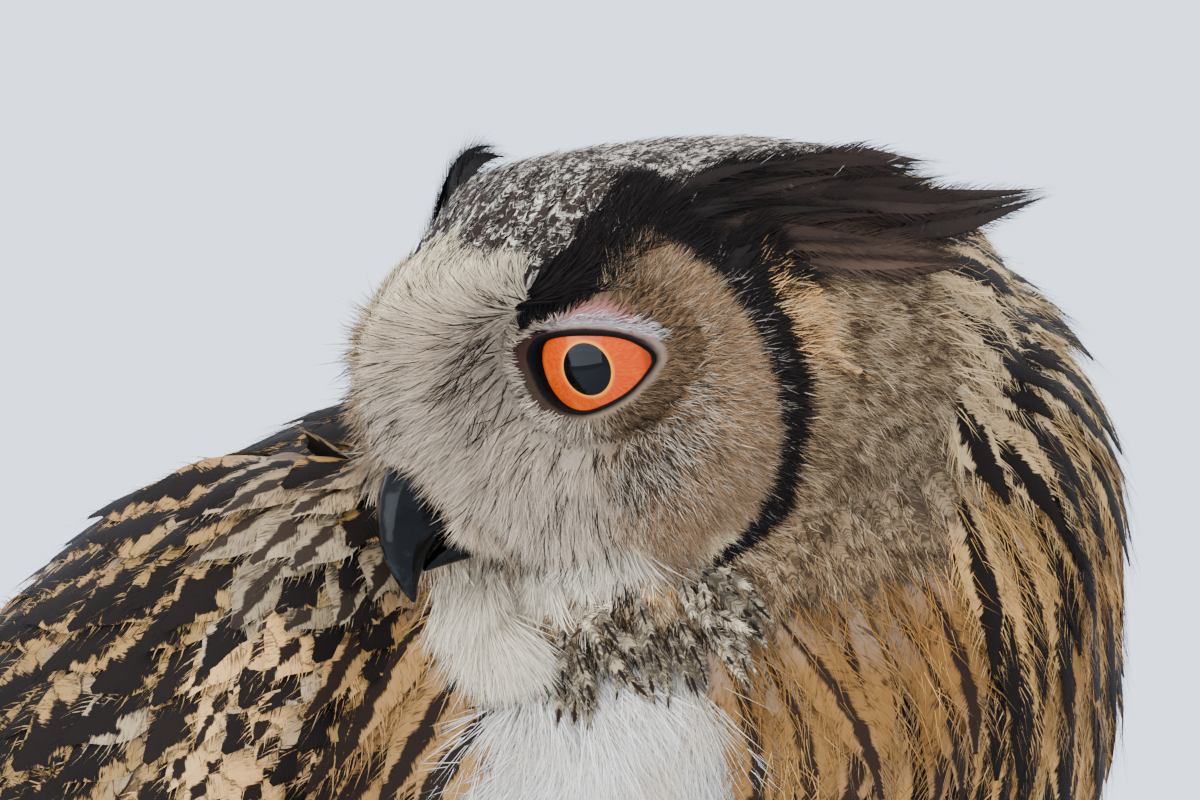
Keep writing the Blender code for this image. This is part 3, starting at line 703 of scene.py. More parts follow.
        girth = f.barb_width * (0.5 + 0.5 * np.clip(wide / wide.max(), 0, 1))
        lift = reach * rng.uniform(-0.10, 0.16, u.shape)
        on = reach * np.cos(slant)
        verts = np.stack([spot_at(root_v, -girth / 2, 0 * on), spot_at(root_v, girth / 2, 0 * on),
                          spot_at(curve, 0.48 * on - girth * 0.36, lift * 0.6),
                          spot_at(curve, 0.48 * on + girth * 0.36, lift * 0.6), spot_at(tip_v, on, lift)], 2)
        cells = np.array([(0, 1, 3), (0, 3, 2), (2, 3, 4)])
        tris = (np.arange(f.count * 2 * barbs) * 5)[:, None, None] + cells[None]
        width = np.maximum(wide, 0.5 * MM)
        v_grid = np.stack([root_v, root_v, curve, curve, tip_v], 2) / width[..., None]
        gain = on / f.length[:, None]
        u_grid = np.stack([u, u, u + gain * 0.48, u + gain * 0.48, u + gain], 2)
        self.add_feather_verts(f, verts, tris, u_grid.reshape(f.count, -1), v_grid.reshape(f.count, -1),
                               np.repeat(width, 5, axis=1))

    def add_feather_verts(self, f, verts, tris, u, v, half):
        """Adds one grid of feather points, with the places and colours that the plumage material reads."""
        base, mark, traits = f.colours
        fade = (1 - step(u, 0.05, 0.35))[..., None] * 0.6
        tip_share = (f.tip_share * step(np.maximum(u, np.abs(v)), 0.7, 1.0))[..., None]
        tip = tinted(base, *f.tip) if f.tip else base
        tone = f.tone[:, None, None]
        colour = mix(base[:, None], tip[:, None], tip_share)
        colour = mix(colour, linear(f.down), fade) * tone
        marked = np.broadcast_to((mark * tone[:, 0])[:, None], colour.shape)
        trait_rows = np.broadcast_to(traits[:, None], (*u.shape, 4))
        spots = np.broadcast_to(f.spot[:, None], u.shape)
        place = np.stack([u, v, spots], 2)
        lie_mm = np.stack([u * f.length[:, None] / MM, v * half / MM, spots * SEED_SPREAD], 2)
        uv = f.roots.uv[:, None] + np.stack([np.clip(v, -1, 1) * 0.5, np.clip(u, 0, 1) - 0.5], 2) * PATCH
        self.add(verts, tris, place, lie_mm, colour, marked, trait_rows, uv)

    def finish(self, slot, material, *nodes):
        """Makes the mesh, of all that was collected, in place of those nodes."""
        joined = [np.concatenate(rows) for rows in zip(*self.parts)]
        verts, tris, place, lie_mm, base, mark, traits, uv = joined
        verts[:, 2] = np.maximum(verts[:, 2], LOWEST)
        mesh = bpy.data.meshes.new(self.name)
        mesh.vertices.add(len(verts))
        mesh.vertices.foreach_set("co", verts.astype(np.float32).ravel())
        mesh.loops.add(len(tris) * 3)
        mesh.loops.foreach_set("vertex_index", tris.astype(np.int32).ravel())
        mesh.polygons.add(len(tris))
        mesh.polygons.foreach_set("loop_start", np.arange(0, len(tris) * 3, 3, dtype=np.int32))
        mesh.update(calc_edges=True)
        for name, rows in (("place", place), ("lie_mm", lie_mm), ("base", np.clip(opaque(base), 0, 1)),
                           ("mark", np.clip(opaque(mark), 0, 1)), ("traits", np.clip(traits, 0, 1))):
            add_values(mesh, name, rows)
        layer = mesh.uv_layers.new(name="OFBake")
        layer.data.foreach_set("uv", uv[tris.ravel()].astype(np.float32).ravel())
        mesh.shade_smooth()
        mesh.materials.append(material)
        obj = bpy.data.objects.new(self.name, mesh)
        bpy.context.scene.collection.objects.link(obj)
        take_place(obj, slot, *nodes)
        print(f"{self.name}: {len(tris)} triangles")


def drape(roots, length, height, rows, scatter):
    """Centre lines that run from the roots over the skin and rise to the given height at the tip."""
    place, normal, label = roots.points, roots.normals, roots.labels
    yaw = np.radians(rng.normal(0, scatter, len(roots)))[:, None]
    line, ups = [place], [normal]
    for k in range(1, rows + 1):
        way = along_skin(lie(place, normal, label), normal)
        way = way * np.cos(yaw) + np.cross(normal, way) * np.sin(yaw)
        target = place + way * (length / rows)[:, None]
        place, fresh, label = skin.nearest(target)
        normal = unit(0.5 * normal + 0.5 * fresh)
        line.append(place + normal * (height * (k / rows) ** 0.8)[:, None])
        ups.append(normal)
    return np.stack(line, 1), np.stack(ups, 1)


# ---- materials ----------------------------------------------------------------------------------
class Signal:
    """What a material works out at each place; sums, differences and products make its nodes."""

    def __init__(self, nodes, socket):
        self.nodes, self.socket = nodes, socket

    def __add__(self, other):
        return self.nodes.math("ADD", self, other)

    def __radd__(self, other):
        return self.nodes.math("ADD", other, self)

    def __sub__(self, other):
        return self.nodes.math("SUBTRACT", self, other)

    def __rsub__(self, other):
        return self.nodes.math("SUBTRACT", other, self)

    def __mul__(self, other):
        return self.nodes.math("MULTIPLY", self, other)


class Nodes:
    """Short names for making and joining a material's nodes."""

    def __init__(self, name):
        self.material = bpy.data.materials.new(name)
        self.material.use_nodes = True
        self.tree = self.material.node_tree
        self.shader = self.tree.nodes["Principled BSDF"]

    def link(self, value, socket):
        if isinstance(value, Signal):
            self.tree.links.new(value.socket, socket)
        else:
            socket.default_value = value

    def node(self, kind, inputs, **settings):
        """Makes a node and returns its outputs; inputs are in order, or a table by name or number."""
        node = self.tree.nodes.new("ShaderNode" + kind)
        for name, setting in settings.items():
            setattr(node, name, setting)
        for key, value in inputs.items() if isinstance(inputs, dict) else enumerate(inputs):
            self.link(value, node.inputs[key])
        return [Signal(self, socket) for socket in node.outputs]

    def math(self, operation, *values):
        return self.node("Math", values, operation=operation)[0]

    def attribute(self, name):
        """The piece's own values of that name, as a colour, a vector, one number and an alpha."""
        return self.node("Attribute", (), attribute_name=name)

    def ramp(self, value, low, high):
        """0 where the value is below low, 1 above high."""
        return self.node("MapRange", (value, low, high), interpolation_type="SMOOTHSTEP")[0]

    def noise(self, vector, scale, detail=2.0, rough=0.5):
        inputs = {"Vector": vector, "Scale": scale, "Detail": detail, "Roughness": rough}
        return self.node("TexNoise", inputs)[0]

    def combine(self, x, y, z):
        return self.node("CombineXYZ", (x, y, z))[0]

    def separate(self, vector):
        return self.node("SeparateXYZ", (vector,))

    def blend(self, share, a, b, kind="MIX"):
        return self.node("Mix", {0: share, 6: a, 7: b}, data_type="RGBA", blend_type=kind)[2]

    def shaded(self, colour, shade):
        return self.blend(1.0, colour, self.combine(shade, shade, shade), "MULTIPLY")

    def position(self):
        return Signal(self, self.tree.nodes.new("ShaderNodeTexCoord").outputs["Object"])

    def surface(self, inputs, *bump):
        """Sets the surface's inputs; bump is its height, its strength and its distance."""
        if bump:
            inputs["Normal"] = self.node("Bump", dict(zip(("Height", "Strength", "Distance"), bump)))[0]
        for name, value in inputs.items():
            self.link(value, self.shader.inputs[name])
        return self.material


def plumage_material(name, roughness, sheen):
    """Feather colour from the coat's own attributes: shaft streak, bars and mottling, and lines of barbs.

    u runs along each feather and v aside, as shares; along and aside are the same in millimetres.
    """
    n = Nodes(name)
    u, v, _ = n.separate(n.attribute("place")[1])
    along, aside, seed = n.separate(n.attribute("lie_mm")[1])
    _, traits, _, margin = n.attribute("traits")
    streak_width, bars, mottling = n.separate(traits)
    off_middle = n.math("ABSOLUTE", v)
    off_shaft = n.math("ABSOLUTE", aside)
    barb = along - off_shaft * 0.95
    per_barb = n.noise(n.combine(barb, off_shaft * 0.10, seed), 1.7, 2.0, 0.65)
    soft = n.noise(n.combine(along, aside, seed), 0.22, 2.0)
    fine = n.noise(n.combine(barb, off_shaft * 0.22, seed), 1.9, 3.0, 0.65)
    jag = (per_barb - 0.5) * 0.95 + (soft - 0.5) * 0.7
    swell = 0.55 + n.ramp(u, 0.15, 0.8) * 0.45
    wave = n.math("SINE", along * 0.8 + (jag * 3.2 + soft * 9.0 + seed))
    edge = streak_width * swell + jag * streak_width * 1.1 + wave * bars * (swell * 0.8)
    streak = n.ramp(edge - off_middle, -0.05, 0.05) * n.ramp(streak_width, 0.01, 0.06)
    bar = n.ramp(wave - (1.25 - bars * 2.3), -0.12, 0.16) * n.ramp(off_middle - margin, -0.12, 0.12)
    speck = n.ramp(fine * 0.6 + soft * 0.4 - (0.66 - mottling * 0.30), -0.05, 0.07) * 0.8
    mask = n.math("MAXIMUM", streak, n.math("MAXIMUM", bar, speck))
    colour = n.blend(mask, n.attribute("base")[0], n.attribute("mark")[0])
    return n.surface({"Base Color": n.shaded(colour, 0.80 + per_barb * 0.40), "Roughness": roughness,
                      "Specular IOR Level": 0.08, "Sheen Weight": sheen, "Sheen Roughness": 0.5},
                     per_barb, 0.5, 0.35 * MM)


def skin_material():
    """The skin below the coat, in the same markings as the coat over it."""
    n = Nodes("skin_under_coat")
    down = n.noise(n.position(), 900.0, 3.0, 0.7)
    colour = n.shaded(n.attribute("base")[0], 0.55 + down * 0.5)
    return n.surface({"Base Color": colour, "Roughness": 0.9}, down, 0.8, 0.6 * MM)


def horn_material():
    """Black horn, greyer where it is worn, with fine growth lines."""
    n = Nodes("horn")
    place = n.position()
    cloud = n.noise(place, 160.0, 4.0, 0.65)
    scuff = n.noise(place, 900.0, 3.0, 0.7)
    worn = n.ramp(cloud, 0.52, 0.72)
    colour = n.blend(worn * 0.8, (0.003, 0.0029, 0.0028, 1), (0.019, 0.020, 0.022, 1))
    return n.surface({"Base Color": colour, "Roughness": 0.14 + scuff * worn * 0.5,
                      "Specular IOR Level": 0.09, "Coat Weight": 0.05, "Coat Roughness": 0.08},
                     scuff, 0.12, 0.15 * MM)


def eye_material():
    """Pupil, yellow ring, fibrous orange iris and dark rim, by distance from the eye's axis."""
    n = Nodes("eye_surface")
    ring, spin, _ = n.separate(n.attribute("ring")[1])
    round_axis = n.combine(n.math("SINE", spin) * 9.0, n.math("COSINE", spin) * 9.0, ring * 0.25)
    fibre = n.noise(round_axis, 2.6, 4.0, 0.6)
    cloud = n.noise(n.position(), 120.0, 2.0)
    orange = n.blend(n.ramp(fibre, 0.30, 0.75), (0.47, 0.032, 0.0, 1), (0.60, 0.075, 0.0, 1))
    orange = n.blend(n.ramp(cloud, 0.5, 0.68) * 0.5, orange, (0.70, 0.12, 0.002, 1))
    wobble = ring + (fibre - 0.5) * 0.5
    inner = n.blend(1.0 - n.ramp(wobble, 5.9, 7.0), orange, (0.80, 0.27, 0.01, 1))
    outer = n.blend(n.ramp(wobble, 11.8, 13.8), inner, (0.30, 0.022, 0.001, 1))
    rim = n.blend(n.ramp(ring, EYE_RIM, 13.9), outer, (0.012, 0.008, 0.007, 1))
    colour = n.blend(n.ramp(ring, 5.85, 6.05), (0.0015, 0.0015, 0.002, 1), rim)
    return n.surface({"Base Color": colour, "Roughness": 0.5, "Specular IOR Level": 0.0, "Coat Weight": 1.0,
                      "Coat Roughness": 0.01, "Coat IOR": 1.22})


def lid_material():
    n = Nodes("eyelid")
    crease = n.noise(n.position(), 700.0, 4.0, 0.65)
    colour = n.shaded(n.attribute("base")[0], 0.7 + crease * 0.6)
    return n.surface({"Base Color": colour, "Roughness": 0.6, "Specular IOR Level": 0.06},
                     crease, 0.6, 0.6 * MM)


# ---- eyes, lids, bill and talons ----------------------------------------------------------------
EYE_DOME = 4.0                        # how far the clear front stands over the iris's edge
EYE_RIM = 13.4                        # from the axis to where the globe turns black
EYE_SHIFT = (1.9, 0.9)                # of the globe in its socket, outwards and up
# the opening between the lids, outwards and up from the eye's axis, starting at the inner corner
LID_OPENING = [(-13.4, 4.4), (-11.0, 7.2), (-5.6, 7.9), (1.0, 7.5), (7.6, 6.0), (12.0, 3.4), (14.2, -0.4),
               (12.2, -3.6), (7.6, -6.7), (1.2, -8.7), (-4.8, -9.4), (-9.4, -7.8), (-12.4, -4.2),
               (-13.5, 0.2)]
LID_MIDDLE = np.array([-0.5, -0.6])
LID_AROUND = 96
UPPER_LID = (12, 37)                  # the numbers of the points along the upper lid, of all those round it
# of each ring of the lids' skin: how far out from the opening, and how far over the socket's surface
LID_REACH = [-0.9, -0.25, 0.15, 0.6, 1.1, 1.6, 2.3, 3.2, 4.2, 5.4, 6.8, 8.4, 10.0]
LID_RISE = [-1.6, -0.1, 0.45, 0.6, 0.5, 0.3, 0.5, 0.7, 0.3, -0.1, -0.9, -2.0, -3.4]
SOCKET_EDGE = 14.5                    # from the axis; the globe's bulge slopes away from here
FACE_DEPTH, FACE_SLOPE = 9.7, 0.223   # of the face's plane, forward of the globe's centre
FACE_BEND = 18                        # from the axis; the plane bends back from here
BLEND_WIDTH = 0.8                     # over which globe and plane run into each other


def eye_axes(side):
    """The globe's centre, and outwards, up and along its axis, in head axes."""
    axis = np.array([math.cos(EYE_SPLAY), side * math.sin(EYE_SPLAY), 0.0])
    outwards = np.array([-math.sin(EYE_SPLAY), side * math.cos(EYE_SPLAY), 0.0])
    up = np.array([0.0, 0.0, 1.0])
    centre = np.array([0.0, side * EYE_OUT, 0.0]) - axis * IRIS_DEPTH
    return centre + EYE_SHIFT[0] * outwards + EYE_SHIFT[1] * up, np.array([outwards, up, axis])


def globe_depth(radius):
    """How far forward of the globe's centre its surface is, at that distance from the axis."""
    dome = IRIS_DEPTH + EYE_DOME * (1 - (radius / IRIS_RADIUS) ** 2)
    ball = np.sqrt(np.clip(EYE_RADIUS ** 2 - radius ** 2, 0, None))
    return np.where(radius < IRIS_RADIUS, dome, ball)


def socket_depth(x, y):
    """How far forward the lids' skin is: over the globe near it, on the plane of the face further out."""
    radius = np.hypot(x, y)
    ball = np.where(radius < SOCKET_EDGE, globe_depth(radius), 8.9 - (radius - SOCKET_EDGE))
    plane = FACE_DEPTH - FACE_SLOPE * x - 0.35 * np.maximum(radius - FACE_BEND, 0)
    return BLEND_WIDTH * np.logaddexp(ball / BLEND_WIDTH, plane / BLEND_WIDTH)


def opening_reach(x, y):
    """How far outside the opening between the lids a place is, seen along the eye's axis."""
    edge_x, edge_y = (LID_EDGE - LID_MIDDLE).T
    order = np.argsort(np.arctan2(edge_y, edge_x))
    turns, sizes = np.arctan2(edge_y, edge_x)[order], np.hypot(edge_x, edge_y)[order]
    x, y = x - LID_MIDDLE[0], y - LID_MIDDLE[1]
    return np.hypot(x, y) - np.interp(np.arctan2(y, x), turns, sizes, period=2 * math.pi)


def sunk_under_lids(points):
    """Moves the skin behind the lids and the eyeballs, where it would stand in front of them."""
    for _, side in SIDES:
        places = to_eye(side, points)
        x, y, z = places.T
        reach = opening_reach(x, y)
        rise = np.interp(reach, LID_REACH, LID_RISE)
        lid = socket_depth(x, y) + rise - 1.2 + 3 * np.clip(reach - 8, 0, 20)
        limit = np.where(reach < 0, np.minimum(lid, -2.0), lid)
        near_eye = (z > -10) & (z < 30) & (reach < 14)
        places[:, 2] = np.where(near_eye, np.minimum(z, limit), z)
        points = from_eye(side, *places.T)
    return points


def from_eye(side, x, y, z):
    centre, axes = eye_axes(side)
    return from_head(centre + np.stack([x, y, z], -1) @ axes)


def to_eye(side, points):
    centre, axes = eye_axes(side)
    return (to_head(points) - centre) @ axes.T


def grid_mesh(name, rows):
    """A surface through rings of points."""
    count, around = rows.shape[:2]
    faces = []
    for start in range(0, (count - 1) * around, around):
        for k in range(around):
            n = (k + 1) % around
            faces.append((start + k, start + n, start + around + n, start + around + k))
    mesh = bpy.data.meshes.new(name)
    mesh.from_pydata(rows.reshape(-1, 3).tolist(), [], faces)
    mesh.update()
    mesh.shade_smooth()
    obj = bpy.data.objects.new(name, mesh)
    bpy.context.scene.collection.objects.link(obj)
    return obj


def add_values(mesh, name, rows):
    """Gives every vertex a vector, or a colour where the rows have four values."""
    kind, key = ("FLOAT_VECTOR", "vector") if rows.shape[1] == 3 else ("FLOAT_COLOR", "color")
    layer = mesh.attributes.new(name, kind, "POINT")
    layer.data.foreach_set(key, rows.astype(np.float32).ravel())


def opaque(rows):
    return np.hstack([rows, np.ones((len(rows), 1))])


def take_place(obj, slot, *nodes):
    """Fixes a piece to the part, in place of those nodes."""
    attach(obj, "root")
    if nodes:
        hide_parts(*nodes)


def eyeball(label, side, material):
    """The globe, in rings round its axis; ring says how far out along the surface each point is."""
    turn = np.linspace(0, 2 * math.pi, 64, endpoint=False)
    iris = np.linspace(0.05, IRIS_RADIUS, 22)
    slants = np.linspace(math.asin(IRIS_RADIUS / EYE_RADIUS), 2.7, 30)[1:]
    radii = np.append(iris, EYE_RADIUS * np.sin(slants))[:, None]
    depths = np.append(globe_depth(iris), EYE_RADIUS * np.cos(slants))[:, None]
    points = from_eye(side, radii * np.cos(turn), radii * np.sin(turn), depths + 0 * turn)
    obj = grid_mesh("eyeball_" + label, points)
    obj.data.materials.append(material)
    ring = np.append(iris, EYE_RADIUS * slants - EYE_RADIUS * slants[0] + EYE_RIM)[:, None] + 0 * turn
    spin = turn[None] + 0 * ring
    add_values(obj.data, "ring", np.stack([ring, spin, 0 * ring], -1).reshape(-1, 3))
    take_place(obj, "eye", "eye_" + label)


def closed_curve(stations, count):
    """Evenly numbered places on a smooth closed curve through the stations."""
    rows = np.asarray(stations, float)
    made = []
    for place in np.arange(count) * len(rows) / count:
        k = int(place)
        made.append(spline(*(rows[(k + j) % len(rows)] for j in (-1, 0, 1, 2)), place - k))
    return np.array(made)


def lid_rows():
    """The rings of the lids' skin, from inside the opening outwards, in the eye's axes."""
    outward = unit(LID_EDGE - LID_MIDDLE)
    upper = step(LID_EDGE[:, 1], -1, 5)
    rows = []
    for reach, rise in zip(LID_REACH, LID_RISE):
        spot = LID_EDGE + outward * reach * (1 + 0.15 * upper)[:, None]
        wrinkle = 0.16 * np.sin(np.arange(LID_AROUND) * 1.9 + reach * 2.2) * (reach > 1)
        fold = 0.9 * upper * near(reach, 3.4, 1.3) - 0.6 * upper * near(reach, 2.0, 0.6)
        rows.append(np.column_stack([spot, socket_depth(*spot.T) + rise + wrinkle + fold]))
    return np.array(rows)


LID_EDGE = closed_curve(LID_OPENING, LID_AROUND)
LID_ROWS = lid_rows()


def eyelids(label, side, material):
    """A ring of skin from the lids' wet black edge to where the feathers begin."""
    points = from_eye(side, *np.moveaxis(LID_ROWS, 2, 0))
    obj = grid_mesh("eyelids_" + label, points)
    reach = np.array(LID_REACH)[:, None] + np.zeros((1, LID_AROUND))
    upper = step(LID_EDGE[:, 1], 0, 5)[None]
    nasal = step(-LID_EDGE[:, 0], 1, 10)[None]
    black, brown = linear("080605"), linear("24150e")
    pink, grey = linear("9a6359"), linear("a1856b")
    upper_tone, lower_tone = pink * 0.75 + brown * 0.25, grey * 0.6 + brown * 0.4
    skin_tone = upper_tone * upper[..., None] + lower_tone * (1 - upper[..., None])
    skin_tone = skin_tone * (1 - 0.9 * nasal[..., None]) + brown * 0.9 * nasal[..., None]
    pale_band = (0.75 * near(reach, 2.3, 0.9) * upper * (1 - nasal))[..., None]
    skin_tone = mix(skin_tone, linear("a59993"), pale_band)
    edge = (1 - step(reach, 0.7 + 0.3 * upper, 1.5 + 0.3 * upper))[..., None]
    # painted shade: a narrow band along the upper lid's fold is darkened, where the fold's shade falls
    painted_fold_shade = (0.45 * near(reach, 3.3, 0.3) * upper)[..., None]
    colours = mix(skin_tone, black, edge) * (1 - painted_fold_shade)
    coat_colours = looks_at(points.reshape(-1, 3), np.zeros(points.size // 3, int))[0].reshape(points.shape)
    covered = step(reach, 1.9 + 3.4 * upper + 1.6 * nasal, 3.0 + 3.8 * upper + 1.6 * nasal)[..., None]
    colours = colours * (1 - covered) + coat_colours * 0.7 * covered
    add_values(obj.data, "base", opaque(colours.reshape(-1, 3)))
    obj.data.materials.append(material)
    take_place(obj, None)


def horn_piece(node, name, voxel, material):
    """A fine smooth copy of a node of horn, in place of its faceted solid."""
    mesh = frame["nodes"][node].data.copy()
    obj = remeshed(mesh, name, voxel, 30)
    obj.data.materials.clear()
    obj.data.materials.append(material)
    obj.data.shade_smooth()
    take_place(obj, "horn", node)


# ---- building the bird --------------------------------------------------------------------------
skin_piece, skin_labels = skin_object()
skin_piece.data.vertices.foreach_set("co", sunk_under_lids(vertex_array(skin_piece.data)).ravel())
skin_piece.data.update()
skin = Skin(skin_piece, skin_labels)


def unwrap_skin():
    """Lays the skin out flat, once, for itself and for every tuft that grows on it."""
    mesh = skin_piece.data
    mesh.uv_layers.new(name="OFBake")
    for other in bpy.context.selected_objects:
        other.select_set(False)
    bpy.context.view_layer.objects.active = skin_piece
    skin_piece.select_set(True)
    bpy.ops.object.mode_set(mode="EDIT")
    bpy.ops.mesh.select_all(action="SELECT")
    bpy.ops.uv.smart_project(angle_limit=math.radians(66), island_margin=0.002)
    bpy.ops.object.mode_set(mode="OBJECT")
    skin.take_uv(mesh)


def paint_skin():
    base, mark, traits = looks_at(skin.points, skin_labels)
    cover = np.minimum(traits[:, :1] + 0.5 * traits[:, 1:2], 0.6)
    add_values(skin_piece.data, "base", opaque(mix(base, mark, cover)))
    skin_piece.data.materials.clear()
    skin_piece.data.materials.append(skin_material())
    take_place(skin_piece, None, *FLESH)


unwrap_skin()
paint_skin()

BUFF = plumage_material("plumage_buff", 0.78, 0.015)
WING = plumage_material("plumage_wing", 0.70, 0.0)
TUFT = plumage_material("plumage_tuft", 0.50, 0.01)
LEG = plumage_material("plumage_leg", 0.82, 0.04)
HORN = horn_material()
LID = lid_material()
EYE = eye_material()
for label, side in SIDES:
    eyeball(label, side, EYE)
    eyelids(label, side, LID)
    for toe in TOES:
        horn_piece(f"talon_{toe}_{label}", f"talon_piece_{toe}_{label}", 0.5 * MM, HORN)
horn_piece("bill_upper", "bill_upper_piece", 0.4 * MM, HORN)
horn_piece("bill_lower", "bill_lower_piece", 0.4 * MM, HORN)

# what every face of the skin would look like, for choosing where each part of the coat grows
FACE_HEAD = to_head(skin.middles)
FACE_LOOKS = look_weights(skin.middles, skin.labels)
FACE_TOTAL = np.maximum(sum(look ** 3 for look in FACE_LOOKS.values()), 1e-6)
FACE_SIDE = {1: step(FACE_HEAD[:, 1], -2, 2), -1: step(-FACE_HEAD[:, 1], -2, 2)}


def lid_zone(points):
    """1 where the lids and the eye's socket are, so that nothing grows there."""
    inside = np.zeros(len(points))
    for _, side in SIDES:
        x, y, z = to_eye(side, points).T
        inside = np.maximum(inside, (opening_reach(x, y) < 7.0) & (z > -20) & (z < 22))
    return inside


def bill_zone(points):
    """1 where the bill leaves the face, so that nothing grows through it."""
    head = to_head(points)
    wide = np.abs(head[:, 1])
    return (head[:, 0] > 22) & (head[:, 0] < 34) & (wide < 7.5) & (head[:, 2] < -3) & (head[:, 2] > -36)


OPEN_SKIN = 1.0 * (1 - lid_zone(skin.middles)) * (1 - bill_zone(skin.middles))


def part_share(*names):
    """The part of the coat that each face of the skin gives to these looks; most goes to the strongest."""
    return OPEN_SKIN * step(sum(FACE_LOOKS[name] ** 3 for name in names) / FACE_TOTAL, 0.25, 0.75)


def strand_colours(roots, *among):
    """The coat's colour at each root, a little lighter and darker in small patches."""
    grain = patchy(roots.points, 2.2 * MM) + 0.6 * patchy(roots.points + 0.7, 0.9 * MM)
    return looks_at(roots.points, roots.labels, among)[0] * (1 + 0.28 * grain)[:, None]


def tinted(colours, hex_colour, share):
    return mix(colours, linear(hex_colour), share)


# ---- the coat of the head -----------------------------------------------------------------------
BLACK = "0c0908"
DARK_SHAFT = "1d1713"


def parted(roots, size, amount):
    """The lie of the coat, swung aside a little in locks of that size."""
    way = roots.lie()
    aside = np.cross(roots.normals, way)
    swing = patchy(roots.points, size) + 0.5 * patchy(roots.points + 0.3, 0.4 * size)
    return unit(way + amount * swing[:, None] * aside)


def face_coat(label, side, amount):
    """The facial disc: fine short strands that radiate from the eye."""
    coat = Coat("coat_face_" + label)
    where = FACE_SIDE[side] * part_share("disc")
    broad = amount ** -0.5
    roots = skin.scatter(where, int(40000 * amount))
    grown = step(disc_place(to_head(roots.points))[1], -30, -8)
    base = strand_colours(roots) ** 1.25 * 1.8
    coat.strands(roots, (3.8 + 2.8 * grown) * MM, 0.22 * MM * broad, 12 + 9 * grown,
                 way=parted(roots, 7 * MM, 0.3), base=base * 0.75, tip=tinted(base * 1.3, "a8957a", 0.2),
                 variety=0.45, scatter=14)
    coat.hairs(where, 6000 * amount, 6.0 * MM, 0.19 * MM * broad, 21, base="2c2119", scatter=15, variety=0.2)
    coat.hairs(where, 4000 * amount, 6.0 * MM, 0.18 * MM * broad, 22, base="7d6a52", tip="c0b29c",
               scatter=15, variety=0.25)
    coat.finish("plumage_buff", BUFF)


def swept_back(roots, radial_share):
    """The lie of the brow: partly away from the eye and partly back along the head."""
    return along_skin(mix(HEAD_UP * 0.25 - HEAD_FORWARD, roots.lie(), radial_share), roots.normals)


def brow_coat(label, side, amount):
    """The black brow band and rim of the disc, the pale forehead, and the hairs round the lids."""
    coat = Coat("coat_brow_" + label)
    half = FACE_SIDE[side]
    broad = amount ** -0.5
    roots = skin.scatter(half * part_share("black"), int(15000 * amount))
    head = to_head(roots.points)
    on_brow = np.maximum(step(head[:, 2], 12, 20), step(head[:, 0], -14, -8))[:, None]
    way = swept_back(roots, 0.12) * on_brow + roots.lie() * (1 - on_brow)
    coat.strands(roots, (7.5 + 3.0 * on_brow[:, 0]) * MM, 0.42 * MM * broad, 15, way=unit(way), base=BLACK,
                 tip="1c1512", variety=0.25)
    edge = half * OPEN_SKIN * FACE_LOOKS["disc"] * (FACE_HEAD[:, 0] > -60) * (disc_place(FACE_HEAD)[1] > -9)
    coat.hairs(edge, 1100 * amount, 6.0 * MM, 0.18 * MM * broad, 24, base="4a3b2d", tip="a89a86", scatter=14,
               variety=0.25)
    forehead = half * part_share("forehead")
    roots = skin.scatter(forehead, int(13000 * amount))
    base = strand_colours(roots, "forehead")
    dark = (rng.random(len(roots)) < 0.11)[:, None]
    coat.strands(roots, 7.5 * MM, 0.27 * MM * broad, 18, way=parted(roots, 6 * MM, 0.5),
                 base=np.where(dark, 0.12, 0.75) * base, tip=np.where(dark, 0.2, 1.35) * base, variety=0.25,
                 scatter=11)
    roots = skin.scatter(forehead, int(560 * amount))
    coat.strands(roots, 8 * MM, 0.24 * MM, 24, way=parted(roots, 6 * MM, 0.5), base=DARK_SHAFT, segments=3,
                 variety=0.15, scatter=10)
    lid_hairs(coat, side, amount)
    coat.finish("plumage_buff", BUFF)


def lid_roots(side, reach, spot):
    """Roots on the skin of the lids, that far out from the opening, and the way away from the eye there."""
    rows = LID_ROWS
    row = np.clip(np.interp(reach, LID_REACH, np.arange(len(LID_REACH))), 0, len(LID_REACH) - 1.01)
    low, share = row.astype(int), (row % 1)[:, None]
    eye_points = rows[low, spot] * (1 - share) + rows[low + 1, spot] * share
    out = rows[low + 1, spot] - rows[low, spot]
    points = from_eye(side, *eye_points.T)
    way = unit(from_eye(side, *(eye_points + out).T) - points)
    along = rows[low, (spot + 1) % rows.shape[1]] - rows[low, spot]
    along = unit(from_eye(side, *(eye_points + along).T) - points)
    normals = unit(np.cross(way, along)) * -side
    roots = skin.roots_at(points, normals)
    roots.labels = roots.labels * 0
    return roots, way, eye_points


